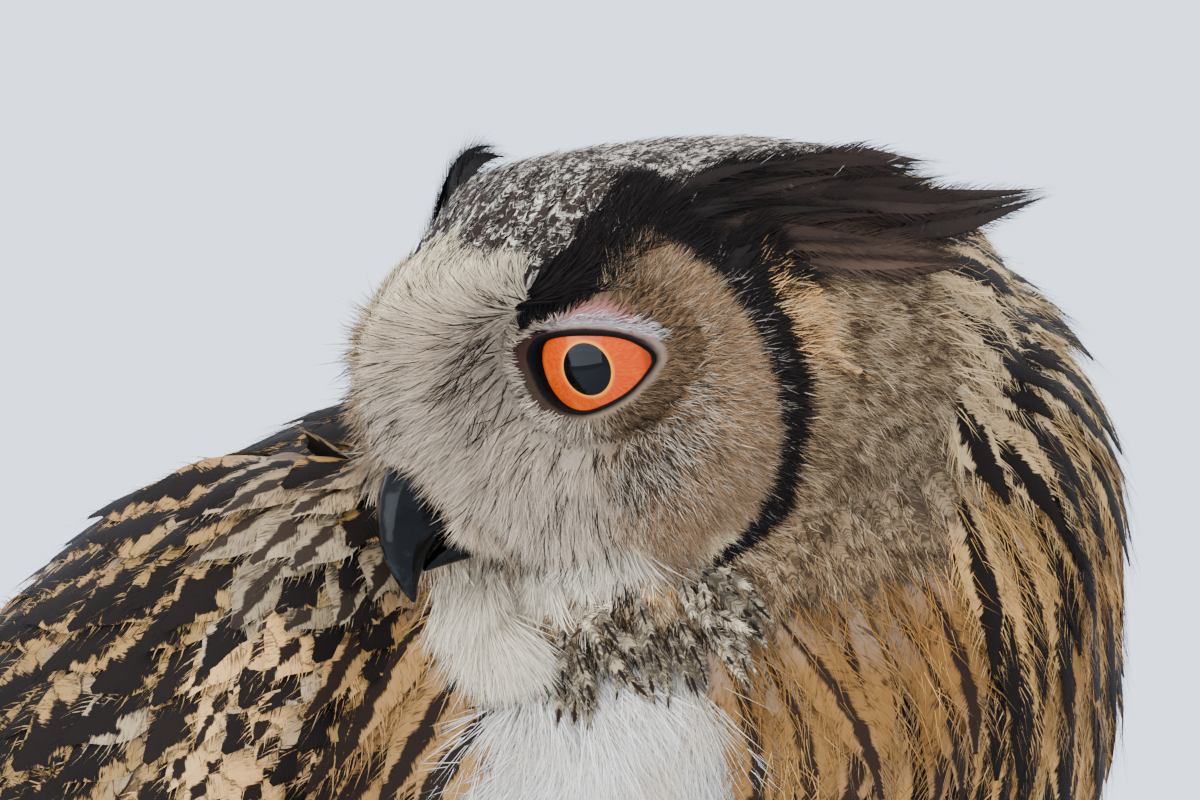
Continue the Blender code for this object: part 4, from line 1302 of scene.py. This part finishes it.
def lid_hairs(coat, side, amount):
    """Face hairs that start close to the lids, and the small pale feathers of the upper lid."""
    count = int(14000 * amount)
    spot = rng.integers(0, LID_AROUND, count)
    reach = rng.uniform(1.8, 10.0, count)
    roots, way, place = lid_roots(side, reach, spot)
    upper, outer = step(place[:, 1], 0, 7), step(place[:, 0], 8, 15)
    nasal = step(-place[:, 0], 10, 15)
    bare = 1.9 + 3.6 * upper * near(place[:, 0], 4, 9) + 0.9 * outer + 1.4 * nasal
    keep = reach > bare + rng.normal(0, 0.4, count)
    roots, way, place, upper = roots.keep(keep), way[keep], place[keep], upper[keep]
    weights = look_weights(roots.points, roots.labels)
    on_brow = (weights["black"] > 0.5 * (weights["disc"] + weights["forehead"] + weights["lores"]))[:, None]
    way = np.where(on_brow, swept_back(roots, 0.12), way)
    base = strand_colours(roots)
    dark = linear(BLACK)
    fleck = (rng.random(len(roots)) < 0.25)[:, None]
    base = np.where(fleck, base * 0.2, base)
    coat.strands(roots, (3.6 + 2.6 * on_brow[:, 0]) * MM, 0.20 * MM * amount ** -0.5, 15, way=way,
                 base=np.where(on_brow, dark, base * 0.7), tip=np.where(on_brow, dark * 1.5, base * 1.25),
                 variety=0.38, scatter=15)
    count = int(420 * amount)
    spot = rng.integers(*UPPER_LID, count)
    roots, way, place = lid_roots(side, rng.uniform(1.8, 4.2, count), spot)
    outwards = from_eye(side, place[:, 0] + 1, place[:, 1] - 0.1, place[:, 2]) - roots.points
    way = unit(way * 0.2 + unit(outwards))
    coat.strands(roots, 2.8 * MM, 0.12 * MM, 6, way=way, base="8d837c", tip="cfc7c2", variety=0.3,
                 scatter=16)


def lores_coat():
    """The pale bristles between the eyes and over the root of the bill, with their thin black shafts."""
    coat = Coat("coat_lores")
    where = (0.35 + 0.65 * FACE_SIDE[1]) * part_share("lores")     # denser on the side that the camera sees

    def bristles(roots, length, width, lift, steeper, **look):
        to_bill = step(to_head(roots.points)[:, 0], 2, 24)
        coat.strands(roots, (length + 6.0 * to_bill) * MM, width, lift + steeper * to_bill, scatter=8,
                     way=parted(roots, 8 * MM, 0.45), **look)

    roots = skin.scatter(where, 36000)
    base = strand_colours(roots)
    bristles(roots, 7.5, 0.26 * MM, 9, 13, base=base * 0.75, tip=base * 1.3, variety=0.25)
    roots = skin.scatter(where * (1 + 1.2 * step(FACE_HEAD[:, 2], -8, 8)), 950)
    bristles(roots, 12.5, 0.21 * MM, 22, 14, base=DARK_SHAFT, tip="0a0807", segments=3, variety=0.15,
             bend=0.45)
    coat.finish("plumage_buff", BUFF)


def chin_coat():
    """The long soft hairs under the bill."""
    coat = Coat("coat_chin")
    roots = skin.scatter(part_share("chin"), 17000)
    base = strand_colours(roots)
    tufted = patchy(roots.points, 5 * MM)
    # painted shade: the roots are painted at 0.72 of the coat's colour, for the shade between the locks
    coat.strands(roots, (19 + 5 * tufted) * MM, 0.25 * MM, 17 + 9 * tufted, way=parted(roots, 5 * MM, 0.45),
                 base=base * 0.72, tip=tinted(base, "f8ead2", 0.7), variety=0.25, bend=0.6)
    coat.finish("plumage_buff", BUFF)


def throat_coat():
    """The white patch of the throat, of long loose down."""
    coat = Coat("coat_throat")
    roots = skin.scatter(part_share("white"), 19000)
    base = strand_colours(roots, "white")
    tufted = patchy(roots.points, 8 * MM)
    cream = step(patchy(roots.points + 0.6, 11 * MM), 0.0, 0.5)[:, None]
    base = base * (1 - 0.45 * cream) + linear("d8bd94") * 0.45 * cream
    # painted shade: the roots are painted at half the colour of the tips, for the shade between the fluffy
    # lumps
    coat.strands(roots, (20 + 6 * tufted) * MM, 0.25 * MM, 17 + 10 * tufted, way=parted(roots, 6 * MM, 0.5),
                 base=base * 0.5, tip=base, variety=0.25, scatter=12)
    coat.finish("plumage_buff", BUFF)


def ruff_coat():
    """The small dark-centred feathers with pale serrated edges below the chin."""
    coat = Coat("coat_ruff")
    roots = skin.scatter(part_share("ruff"), 4000).thinned(3.6 * MM)
    colours = roots.looks("ruff")
    coat.vanes(roots, rng.uniform(11, 17, len(roots)) * MM, 3.3 * MM, 4.5 * MM, colours, barbs=22,
               barb_width=0.42 * MM, camber=0.3, scatter=22, roll=12, core=0.4, slant=32,
               tip=("ded2bd", 0.4), tip_share=0.6, variety=0.28)
    coat.hairs(part_share("ruff"), 900, 9 * MM, 0.24 * MM, 22, base="1d1510", variety=0.2, scatter=16)
    coat.finish("plumage_buff", BUFF)


def crown_coat():
    """Small dark scale-like feathers with pale notches, and a few pale hairs over them."""
    coat = Coat("coat_crown")
    front_brow = step(FACE_LOOKS["black"], 0.5, 1.2) * step(FACE_HEAD[:, 0], -16, -10)
    where = part_share("crown", "black") * (FACE_HEAD[:, 2] > 10) * (1 - front_brow)
    roots = skin.scatter(where, 9000).thinned(2.7 * MM)
    head = to_head(roots.points)
    size = 1 + 0.45 * step(-head[:, 0], 30, 80) - 0.2 * step(head[:, 0], -5, 10)
    base, mark, traits = roots.looks("crown", "black")
    pale = step(head[:, 0], -34, 2)
    mark = mark * (0.9 + 0.2 * pale[:, None])
    traits[:, 1] *= 0.95 + 0.27 * pale
    traits[:, 2] *= 1.4 - 0.4 * pale
    coat.vanes(roots, 12 * MM * size, 3.3 * MM * size, 2.4 * MM, (base, mark, traits), rows=4, barbs=9,
               camber=0.35, scatter=8, roll=7, down="2a201a", variety=0.15, slant=36)
    coat.hairs(part_share("crown"), 3500, 6 * MM, 0.18 * MM, 15, base="40342b", tip="c9bca9", variety=0.3,
               scatter=12)
    coat.finish("plumage_wing", WING)


def side_coat(label, side, amount):
    """The finely mottled, hair-like feathers behind the facial disc."""
    coat = Coat("coat_head_" + label)
    where = FACE_SIDE[side] * part_share("mottled", "ochre") * (skin.labels <= TRUNK)
    roots = skin.scatter(where, int(5000 * amount) + 1500).thinned(4.6 * MM / amount ** 0.4)
    base, mark, traits = roots.looks("mottled", "ochre")
    size = 1 + 0.8 * step(-to_head(roots.points)[:, 0], 30, 70)
    coat.vanes(roots, 13.5 * MM * size, 3.6 * MM * size / amount ** 0.3, 1.6 * MM,
               (base * 0.75, mark, traits), rows=4, barb_width=0.36 * MM, camber=0.3, scatter=12, roll=8,
               variety=0.22, slant=32, core=0.5)
    roots = skin.scatter(where, int(38000 * amount))
    base, mark, traits = roots.looks("mottled", "ochre")
    fleck = patchy(roots.points, 2.6 * MM) + 0.7 * patchy(roots.points + 0.3, 1.2 * MM)
    dark = (fleck + rng.normal(0, 0.2, len(roots)) > 0.36 - 0.4 * traits[:, 2])[:, None]
    pale = (fleck < -0.36)[:, None]
    base = np.where(pale, tinted(base, "cdb894", 0.4), base * 0.85)
    base = np.where(dark, tinted(mark, "6a5238", 0.25), base)
    coat.strands(roots, 7.5 * MM, 0.26 * MM / amount ** 0.5, 20, base=base * 0.8, tip=base * 1.1,
                 variety=0.25, scatter=12)
    coat.finish("plumage_buff", BUFF)


def nape_coat(label, side, amount):
    """The long streaked feathers of the nape and neck."""
    coat = Coat("coat_neck_" + label)
    where = FACE_SIDE[side] * part_share("nape", "breast", "flank") * (skin.labels <= NECK)
    where = where * (1 - step(FACE_HEAD[:, 0], -12, -4) * step(FACE_HEAD[:, 2], -84, -78))
    roots = skin.scatter(where, 7000).thinned(9.2 * MM)
    head = to_head(roots.points)
    size = 1 + 0.25 * step(-head[:, 2], 30, 90)
    looks = ("nape", "breast")
    coat.vanes(roots, 41 * MM * size, 9.6 * MM * size, 6.5 * MM, roots.looks(*looks), rows=6, columns=6,
               barbs=int(50 * amount), barb_width=0.62 * MM, camber=0.28, scatter=8, roll=7,
               tip=("ecdfc4", 0.25), tip_share=0.5, core=0.62, slant=36)
    coat.fluff(where, 8000 * amount, 17 * MM, 0.24 * MM, 24, shares=(0.75, 1.15), among=looks, variety=0.25,
               scatter=16)
    coat.finish("plumage_buff", BUFF)


# the middle of each ear tuft, from the brow to its tip, in head axes, left side
TUFT_PATH = [(4, 25, 17), (-10, 37, 24), (-30, 50, 26), (-55, 60, 20), (-80, 63, 12), (-112, 57, 7)]
# of each bunch: its place above the path's middle, where on the path it ends, how brown it is
TUFT_BUNCHES = np.array([(0.85, 4.1, 0.2), (0.05, 4.97, 0.35), (-0.95, 4.0, 1.0)])
BUNCH_SHARES = (0.27, 0.46, 0.27)     # of the feathers that each bunch has
TUFT_FEATHERS = {1: 120, -1: 60}
TUFT_ROWS = 8
TUFT_HAIRS = 150                      # tries for pale hairs along the upper edge


def tuft_coat(label, side):
    """An ear tuft: three bunches of long narrow dark feathers that start along the brow and sweep back."""
    coat = Coat("coat_ear_tuft_" + label)
    path = np.array(TUFT_PATH, float)
    bunches = TUFT_BUNCHES.copy()
    if side < 0:
        path[:, 2] += 8 * near(path[:, 0], -32, 20)
        bunches[0, :2] = (1.25, 2.55)
    count, rows = TUFT_FEATHERS[side], TUFT_ROWS
    bunch = bunches[rng.choice(3, count, p=BUNCH_SHARES)]
    start = rng.uniform(0.0, 1.0, count) * np.minimum(3.6, bunch[:, 1] - 0.8)
    stretch = rng.uniform(0.9, 1.9, count) + 0.4 * step(start, 1.0, 3.0)
    end = np.minimum(start + stretch, bunch[:, 1] - rng.uniform(0, 0.3, count))
    share = np.linspace(0, 1, rows + 1)
    spots = start[:, None] + (end - start)[:, None] * share
    row = bunch[:, :1] * step(spots, 0.2, 2.4) + rng.uniform(-0.55, 0.55, count)[:, None] * (1 - 0.6 * share)
    k = np.minimum(spots.astype(int), len(path) - 2)
    t = (spots - k)[..., None]
    before, after = path[np.maximum(k - 1, 0)], path[np.minimum(k + 2, len(path) - 1)]
    line = spline(before, path[k], path[k + 1], after, t)
    fan = 2.5 + 9.5 * step(spots, 0.6, 3.6) * (1 - 0.6 * step(spots, 4.0, 5.0))
    spread_up = (row * fan)[..., None]
    depth = (rng.uniform(-2.5, 1.0, count)[:, None] + 1.2 * share)[..., None]
    upward = unit(np.array([0.0, -0.35, 1.0]))
    outward = unit(np.array([0.0, 1.0, 0.35]))
    line = line + spread_up * upward + depth * outward
    line = from_head(line * (1, side, 1))
    ups = np.broadcast_to((outward * (1, side, 1)) @ HEAD_AXES, line.shape).copy()
    roots = skin.roots_at(line[:, 0], ups[:, 0])
    brown = bunch[:, 2:] * step(start, 0.8, 2.4)[:, None]
    colours = mix(linear("140e0b"), linear("3f2f24"), brown), shades("5d4a3c", count), np.zeros((count, 4))
    coat.vanes(roots, line_lengths(line), 4.6 * MM, 0, colours, lines=(line, ups), rows=rows, barbs=60,
               barb=0.3, barb_width=0.42 * MM, fringe_from=0.05, camber=0.2, roll=14, profile=lance_profile,
               core=0.4, slant=30, down="15100d", variety=0.30)
    pick = rng.choice(count, TUFT_HAIRS)
    pick = pick[bunch[pick, 0] > 0.5]
    spot = rng.integers(1, rows, len(pick))
    points = line[pick, spot]
    way = unit(line[pick, spot + 1] - line[pick, spot])
    high = upward * (1, side, 1) @ HEAD_AXES
    coat.strands(skin.roots_at(points, ups[pick, spot]), 5 * MM, 0.10 * MM, 8, way=unit(way + 0.4 * high),
                 base="5d5248", tip="f2eee8", variety=0.2, scatter=14)
    coat.finish("plumage_tuft", TUFT, "ear_tuft_" + label)


# ---- the coat of the body -----------------------------------------------------------------------
def full_grown(points):
    return np.ones(len(points))


def body_coat(name, look, looks, labels, spacing, length, half_width, barbs, height=6 * MM, core=0.7,
              only=1.0, grow=full_grown, fluff=0):
    """A region of the body in overlapping vanes and, if asked for, so many strands of fluff.

    look is the name of a slot, which is not used, and the material; grow gives the feathers' size at each
    place, as a share.
    """
    coat = Coat(name)
    where = part_share(*looks) * np.isin(skin.labels, labels) * only
    roots = skin.scatter(where, 9000)
    roots = roots.thinned(spacing * np.minimum(grow(roots.points), 1))
    grown = grow(roots.points)
    coat.vanes(roots, length * grown, half_width * (0.6 + 0.4 * grown), height, roots.looks(*looks), rows=6,
               columns=6, barbs=barbs, barb_width=0.8 * MM, camber=0.25, roll=6, core=core, slant=38,
               tip=("e9dcc2", 0.12), tip_share=0.5)
    if fluff:
        coat.fluff(where, fluff, 15 * MM, 0.4 * MM, 20, shares=(0.75, 1.15), variety=0.2, scatter=14)
    coat.finish(*look)


def wing_growth(points):
    """Feathers grow from the shoulder to the wing's end."""
    return 0.5 + 0.5 * step(points[:, 1], -0.15, -0.09) + 1.3 * step(points[:, 1], -0.11, 0.10)


LONG_ROWS = 8                         # rows of faces along a long feather
FLIGHT_FEATHERS = 9
END_FEATHERS, END_COLOUR = 26, "8a683b"
END_DEPTH = 12 * MM                   # of the wing's end that the rings of feathers go round
# of each of those rings: how far back it is, how far it opens, and half the width of its feathers
END_RINGS = ((0.000, 0.35, 9.0 * MM), (0.020, 0.75, 9.5 * MM))
END_ROWS = 6
# where each tail feather lies, counted from the middle one to both sides, the lowest feather first
TAIL_ORDER = np.array([5, -5, 4, -4, 3, -3, 2, -2, 1, -1, 0.3, -0.3])[:, None]


def flight_feathers(label, side):
    """The longest wing feathers, laid over each other above the tail, in place of the solid of them."""
    coat = Coat("coat_primaries_" + label)
    low, high = (np.array(corner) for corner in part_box("primaries_" + label))
    inner, outer = (low[0], high[0]) if side > 0 else (high[0], low[0])
    level = np.linspace(0, 1, FLIGHT_FEATHERS)[:, None]      # 0 at the lowest feather, 1 at the top one
    start = np.array([outer * 0.74, low[1] - 0.035, high[2] - 0.002])
    start = start + level * np.array([-side * 0.030, -0.012, 0.022])
    tip = np.array([inner * 1.02, high[1] - 0.001, low[2] + 0.006])
    tip = tip + level ** 1.3 * np.array([side * 0.010, -0.115, 0.050])
    share = np.linspace(0, 1, LONG_ROWS + 1)[None, :, None]
    bow = np.array([side * 0.006, 0.0, 0.004])
    line = mix(start[:, None], tip[:, None], share) + bow * np.sin(share * math.pi)
    out = unit(np.array([side * 0.62, 0.10, 0.77]))
    ups = np.broadcast_to(out, line.shape).copy()
    add_long_feathers(coat, line, ups, 11.5 * MM, ("7a5c37", "1b130d"), (0.0, 0.66, 0.46, 0.0))
    wing_end(coat, label, unit(line[:, -1].mean(0) - line[:, 0].mean(0)))
    coat.finish("plumage_wing", WING, "primaries_" + label)


def wing_end(coat, label, way):
    """The last rows of the folded wing's feathers, closing over the root of its longest ones."""
    points = vertex_array(frame["nodes"]["wing_" + label].data)
    reach = points @ way
    end = points[reach > reach.max() - END_DEPTH]
    middle = end.mean(0)
    level = unit(np.cross(way, (0, 0, 1)))
    rise = np.cross(level, way)
    wide, tall = (np.abs((end - middle) @ axis).max() for axis in (level, rise))
    share = np.linspace(0, 1, END_ROWS + 1)[None, :, None]
    for back, opening, half_width in END_RINGS:
        turn = np.sort(rng.uniform(0, 2 * math.pi, END_FEATHERS))[:, None]
        outward = level * np.cos(turn) + rise * np.sin(turn)
        ring = middle + level * np.cos(turn) * wide + rise * np.sin(turn) * tall
        start = ring - way * (0.034 + back) + outward * 0.001
        bend = ring - way * back + outward * 0.004
        far = rng.uniform(0.030, 0.044, (END_FEATHERS, 1)) - back * 0.6
        tip = middle + way * far + (ring - middle) * opening
        line = (start[:, None] * (1 - share) ** 2 + 2 * bend[:, None] * share * (1 - share)
                + tip[:, None] * share ** 2)
        ups = np.broadcast_to(unit(outward + 0.3 * way)[:, None], line.shape).copy()
        roots = skin.roots_at(line[:, 0], ups[:, 0])
        colours = shades(END_COLOUR, END_FEATHERS), *roots.looks("wing")[1:]
        coat.vanes(roots, line_lengths(line), half_width, 0, colours, lines=(line, ups), rows=END_ROWS,
                   columns=6, barbs=24, barb_width=0.9 * MM, camber=0.2, core=0.8, slant=34, down="2a1c12")


def tail_feathers():
    """Twelve tail feathers, the middle pair on top, in place of the tail's solid."""
    coat = Coat("coat_tail")
    low, high = (np.array(corner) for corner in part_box("tail"))
    rank = np.linspace(0, 1, len(TAIL_ORDER))[:, None]       # 0 at the lowest feather, 1 at the top one
    outer = np.abs(TAIL_ORDER)
    fan_at_root = np.hstack([TAIL_ORDER * 0.003, 0 * outer, -0.004 * (1 - rank)])
    fan_at_tip = np.hstack([TAIL_ORDER * 0.0072, -0.0035 * outer, 0.0016 * (5 - outer) + 0 * rank])
    start = np.array([0.0, low[1] - 0.010, high[2] + 0.002]) + fan_at_root
    tip = np.array([0.0, high[1] - 0.004, low[2] + 0.004]) + fan_at_tip
    share = np.linspace(0, 1, LONG_ROWS + 1)[None, :, None]
    line = mix(start[:, None], tip[:, None], share)
    across = np.array([1.0, 0, 0])
    up = unit(np.cross(across, unit(tip[0] - start[0])))
    up = up if up[2] > 0 else -up
    ups = unit(up + across * TAIL_ORDER[:, None] * 0.05 + 0 * line)
    add_long_feathers(coat, line, ups, 14 * MM, ("86653c", "1f160f"), (0.0, 0.62, 0.46, 0.0))
    coat.finish("plumage_wing", WING, "tail")


def add_long_feathers(coat, line, ups, half_width, colours, traits):
    """The long feathers of wing and tail, along lines of their own; colours are base and mark, as hex."""
    count = len(line)
    roots = skin.roots_at(line[:, 0], ups[:, 0])
    roots.uv = roots.uv + rng.uniform(-0.01, 0.01, (count, 2))
    rows = *(shades(colour, count) for colour in colours), np.zeros((count, 4)) + traits
    coat.vanes(roots, line_lengths(line), half_width, 0, rows, lines=(line, ups), rows=line.shape[1] - 1,
               columns=8, barbs=60, barb=0.02, barb_width=1.2 * MM, fringe_from=0.1, camber=0.16, roll=2,
               profile=strap_profile, core=0.94, narrowing=0.0, down=colours[0])


def leg_coat(label, side):
    """Dense soft feathers on the thigh and shank, and short hair-like ones on the toes."""
    coat = Coat("coat_leg_" + label)
    mine = step(side * skin.middles[:, 0], -0.002, 0.002)
    thigh = mine * (skin.labels == THIGH)
    roots = skin.scatter(thigh, 2500).thinned(7.0 * MM)
    coat.vanes(roots, 26 * MM, 7.0 * MM, 5.0 * MM, roots.looks(), rows=4, barbs=12, barb_width=0.9 * MM,
               camber=0.3, scatter=8, tip=("efe4cd", 0.4))
    height = skin.middles[:, 2]
    roots = skin.scatter(mine * (skin.labels == SHANK) * (height > 0.012), 1600).thinned(3.2 * MM)
    coat.vanes(roots, 12 * MM, 3.2 * MM, 3.0 * MM, roots.looks(), rows=3, barbs=7, barb_width=0.8 * MM,
               camber=0.3, scatter=10)
    below = mine * (skin.labels >= SHANK) * step(height, 0.004, 0.008)
    coat.fluff(below, 3600, 7 * MM, 0.55 * MM, 27, shares=(0.3, 1.15), locks=(6 * MM, 0.5), variety=0.42,
               scatter=16)
    coat.fluff(thigh, 2600, 13 * MM, 0.5 * MM, 20, shares=(0.5, 1.1), locks=(9 * MM, 0.4), variety=0.3,
               scatter=14)
    coat.finish("plumage_leg", LEG)


BUFF_LOOK, WING_LOOK = ("plumage_buff", BUFF), ("plumage_wing", WING)
WING_LABELS = {"left": WING_LEFT, "right": WING_RIGHT}
for label, side in SIDES:
    amount = 1.0 if side > 0 else 0.35     # the left side of the head is the one that the camera sees
    face_coat(label, side, amount)
    brow_coat(label, side, amount)
    side_coat(label, side, amount)
    nape_coat(label, side, amount if side > 0 else 0.5)
    tuft_coat(label, side)
    leg_coat(label, side)
    body_coat("coat_wing_" + label, WING_LOOK, ("wing", "shoulder", "amber"), (WING_LABELS[label],), 10 * MM,
              36 * MM, 12 * MM, 22, height=5.5 * MM, core=0.78, grow=wing_growth,
              only=1 - step(skin.smooth @ unit(WING_WAY * (side, 1, 1)), 0.45, 0.75))
    flight_feathers(label, side)
lores_coat()
ruff_coat()
chin_coat()
throat_coat()
crown_coat()
tail_feathers()
body_coat("coat_breast", BUFF_LOOK, ("flank", "breast", "nape", "mottled"), (TRUNK,), 9.0 * MM, 42 * MM,
          10.5 * MM, 24, fluff=5000)
body_coat("coat_belly", BUFF_LOOK, ("belly",), (TRUNK,), 10.5 * MM, 46 * MM, 12 * MM, 14, fluff=2400)
body_coat("coat_mantle", WING_LOOK, ("mantle",), (TRUNK, NECK), 10.5 * MM, 46 * MM, 14 * MM, 28, core=0.72)


# ---- floor, light and camera --------------------------------------------------------------------
LENS = 200.0
SENSOR = 36.0
FRAME_WIDTH = 0.2664                  # of the picture, at the eyes
VIEW_TURN = math.radians(-47)
AIM_RIGHT, AIM_DOWN = 19.3, 6.4       # of the picture's middle, from the middle between the eyes
LIGHT_SIZE = 0.9
# place from there, towards the camera, to the right and up, in metres; then power in watts, and colour
LIGHTS = {"key": (0.9, -0.5, 1.1, 10, (1.0, 0.93, 0.82)), "rim": (-0.8, 0.7, 1.0, 14, (1.0, 0.96, 0.90))}
WINDOW_AHEAD, WINDOW_UP = 0.75, 0.03  # of the bluish window before the face, which shows in the eyes
FLOOR_RADIUS = 3.0


def floor():
    bpy.ops.mesh.primitive_circle_add(vertices=96, radius=FLOOR_RADIUS, fill_type="NGON")
    obj = bpy.context.object
    obj.name = "floor"
    material = bpy.data.materials.new("pale_floor")
    material.use_nodes = True
    shader = material.node_tree.nodes["Principled BSDF"]
    shader.inputs["Base Color"].default_value = (0.62, 0.65, 0.70, 1)
    shader.inputs["Roughness"].default_value = 0.8
    obj.data.materials.append(material)


def stand(name, data, place, back):
    """Puts a light or camera at a place; it looks away from back."""
    obj = bpy.data.objects.new(name, data)
    bpy.context.scene.collection.objects.link(obj)
    obj.location = place
    obj.rotation_euler = back.to_track_quat("Z", "Y").to_euler()
    return obj


def soft_light(name, place, aim, size, power, colour, shape="DISK"):
    data = bpy.data.lights.new(name, "AREA")
    data.shape, data.size, data.energy, data.color = shape, size, power, colour
    stand(name, data, place, place - aim)


def sky():
    world = bpy.data.worlds.new("sky")
    bpy.context.scene.world = world
    world.use_nodes = True
    world.node_tree.nodes["Background"].inputs["Color"].default_value = (0.73, 0.82, 1.0, 1)
    world.node_tree.nodes["Background"].inputs["Strength"].default_value = 2.5


def camera():
    """The camera, far off behind a long lens; returns its way back, its way right and what it looks at."""
    back = Vector((math.sin(VIEW_TURN), -math.cos(VIEW_TURN), 0))
    right = Vector((math.cos(VIEW_TURN), math.sin(VIEW_TURN), 0))
    aim = Vector(EYES_MID) + right * AIM_RIGHT * MM - Vector((0, 0, AIM_DOWN * MM))
    data = bpy.data.cameras.new("camera")
    data.lens, data.sensor_width, data.clip_start = LENS, SENSOR, 0.01
    bpy.context.scene.camera = stand("camera", data, aim + back * FRAME_WIDTH * LENS / SENSOR, back)
    return back, right, aim


floor()
sky()
view_back, view_right, view_aim = camera()
for name, (back, right, up, power, colour) in LIGHTS.items():
    place = view_aim + view_back * back + view_right * right + Vector((0, 0, up))
    soft_light(name, place, view_aim, LIGHT_SIZE, power, colour)
ahead = unit(HEAD_FORWARD * (1, 1, 0))
window = Vector(EYES_MID + ahead * WINDOW_AHEAD) + Vector((0, 0, WINDOW_UP))
soft_light("window", window, window - Vector(ahead), 0.62, 7, (0.80, 0.90, 1.0), "SQUARE")
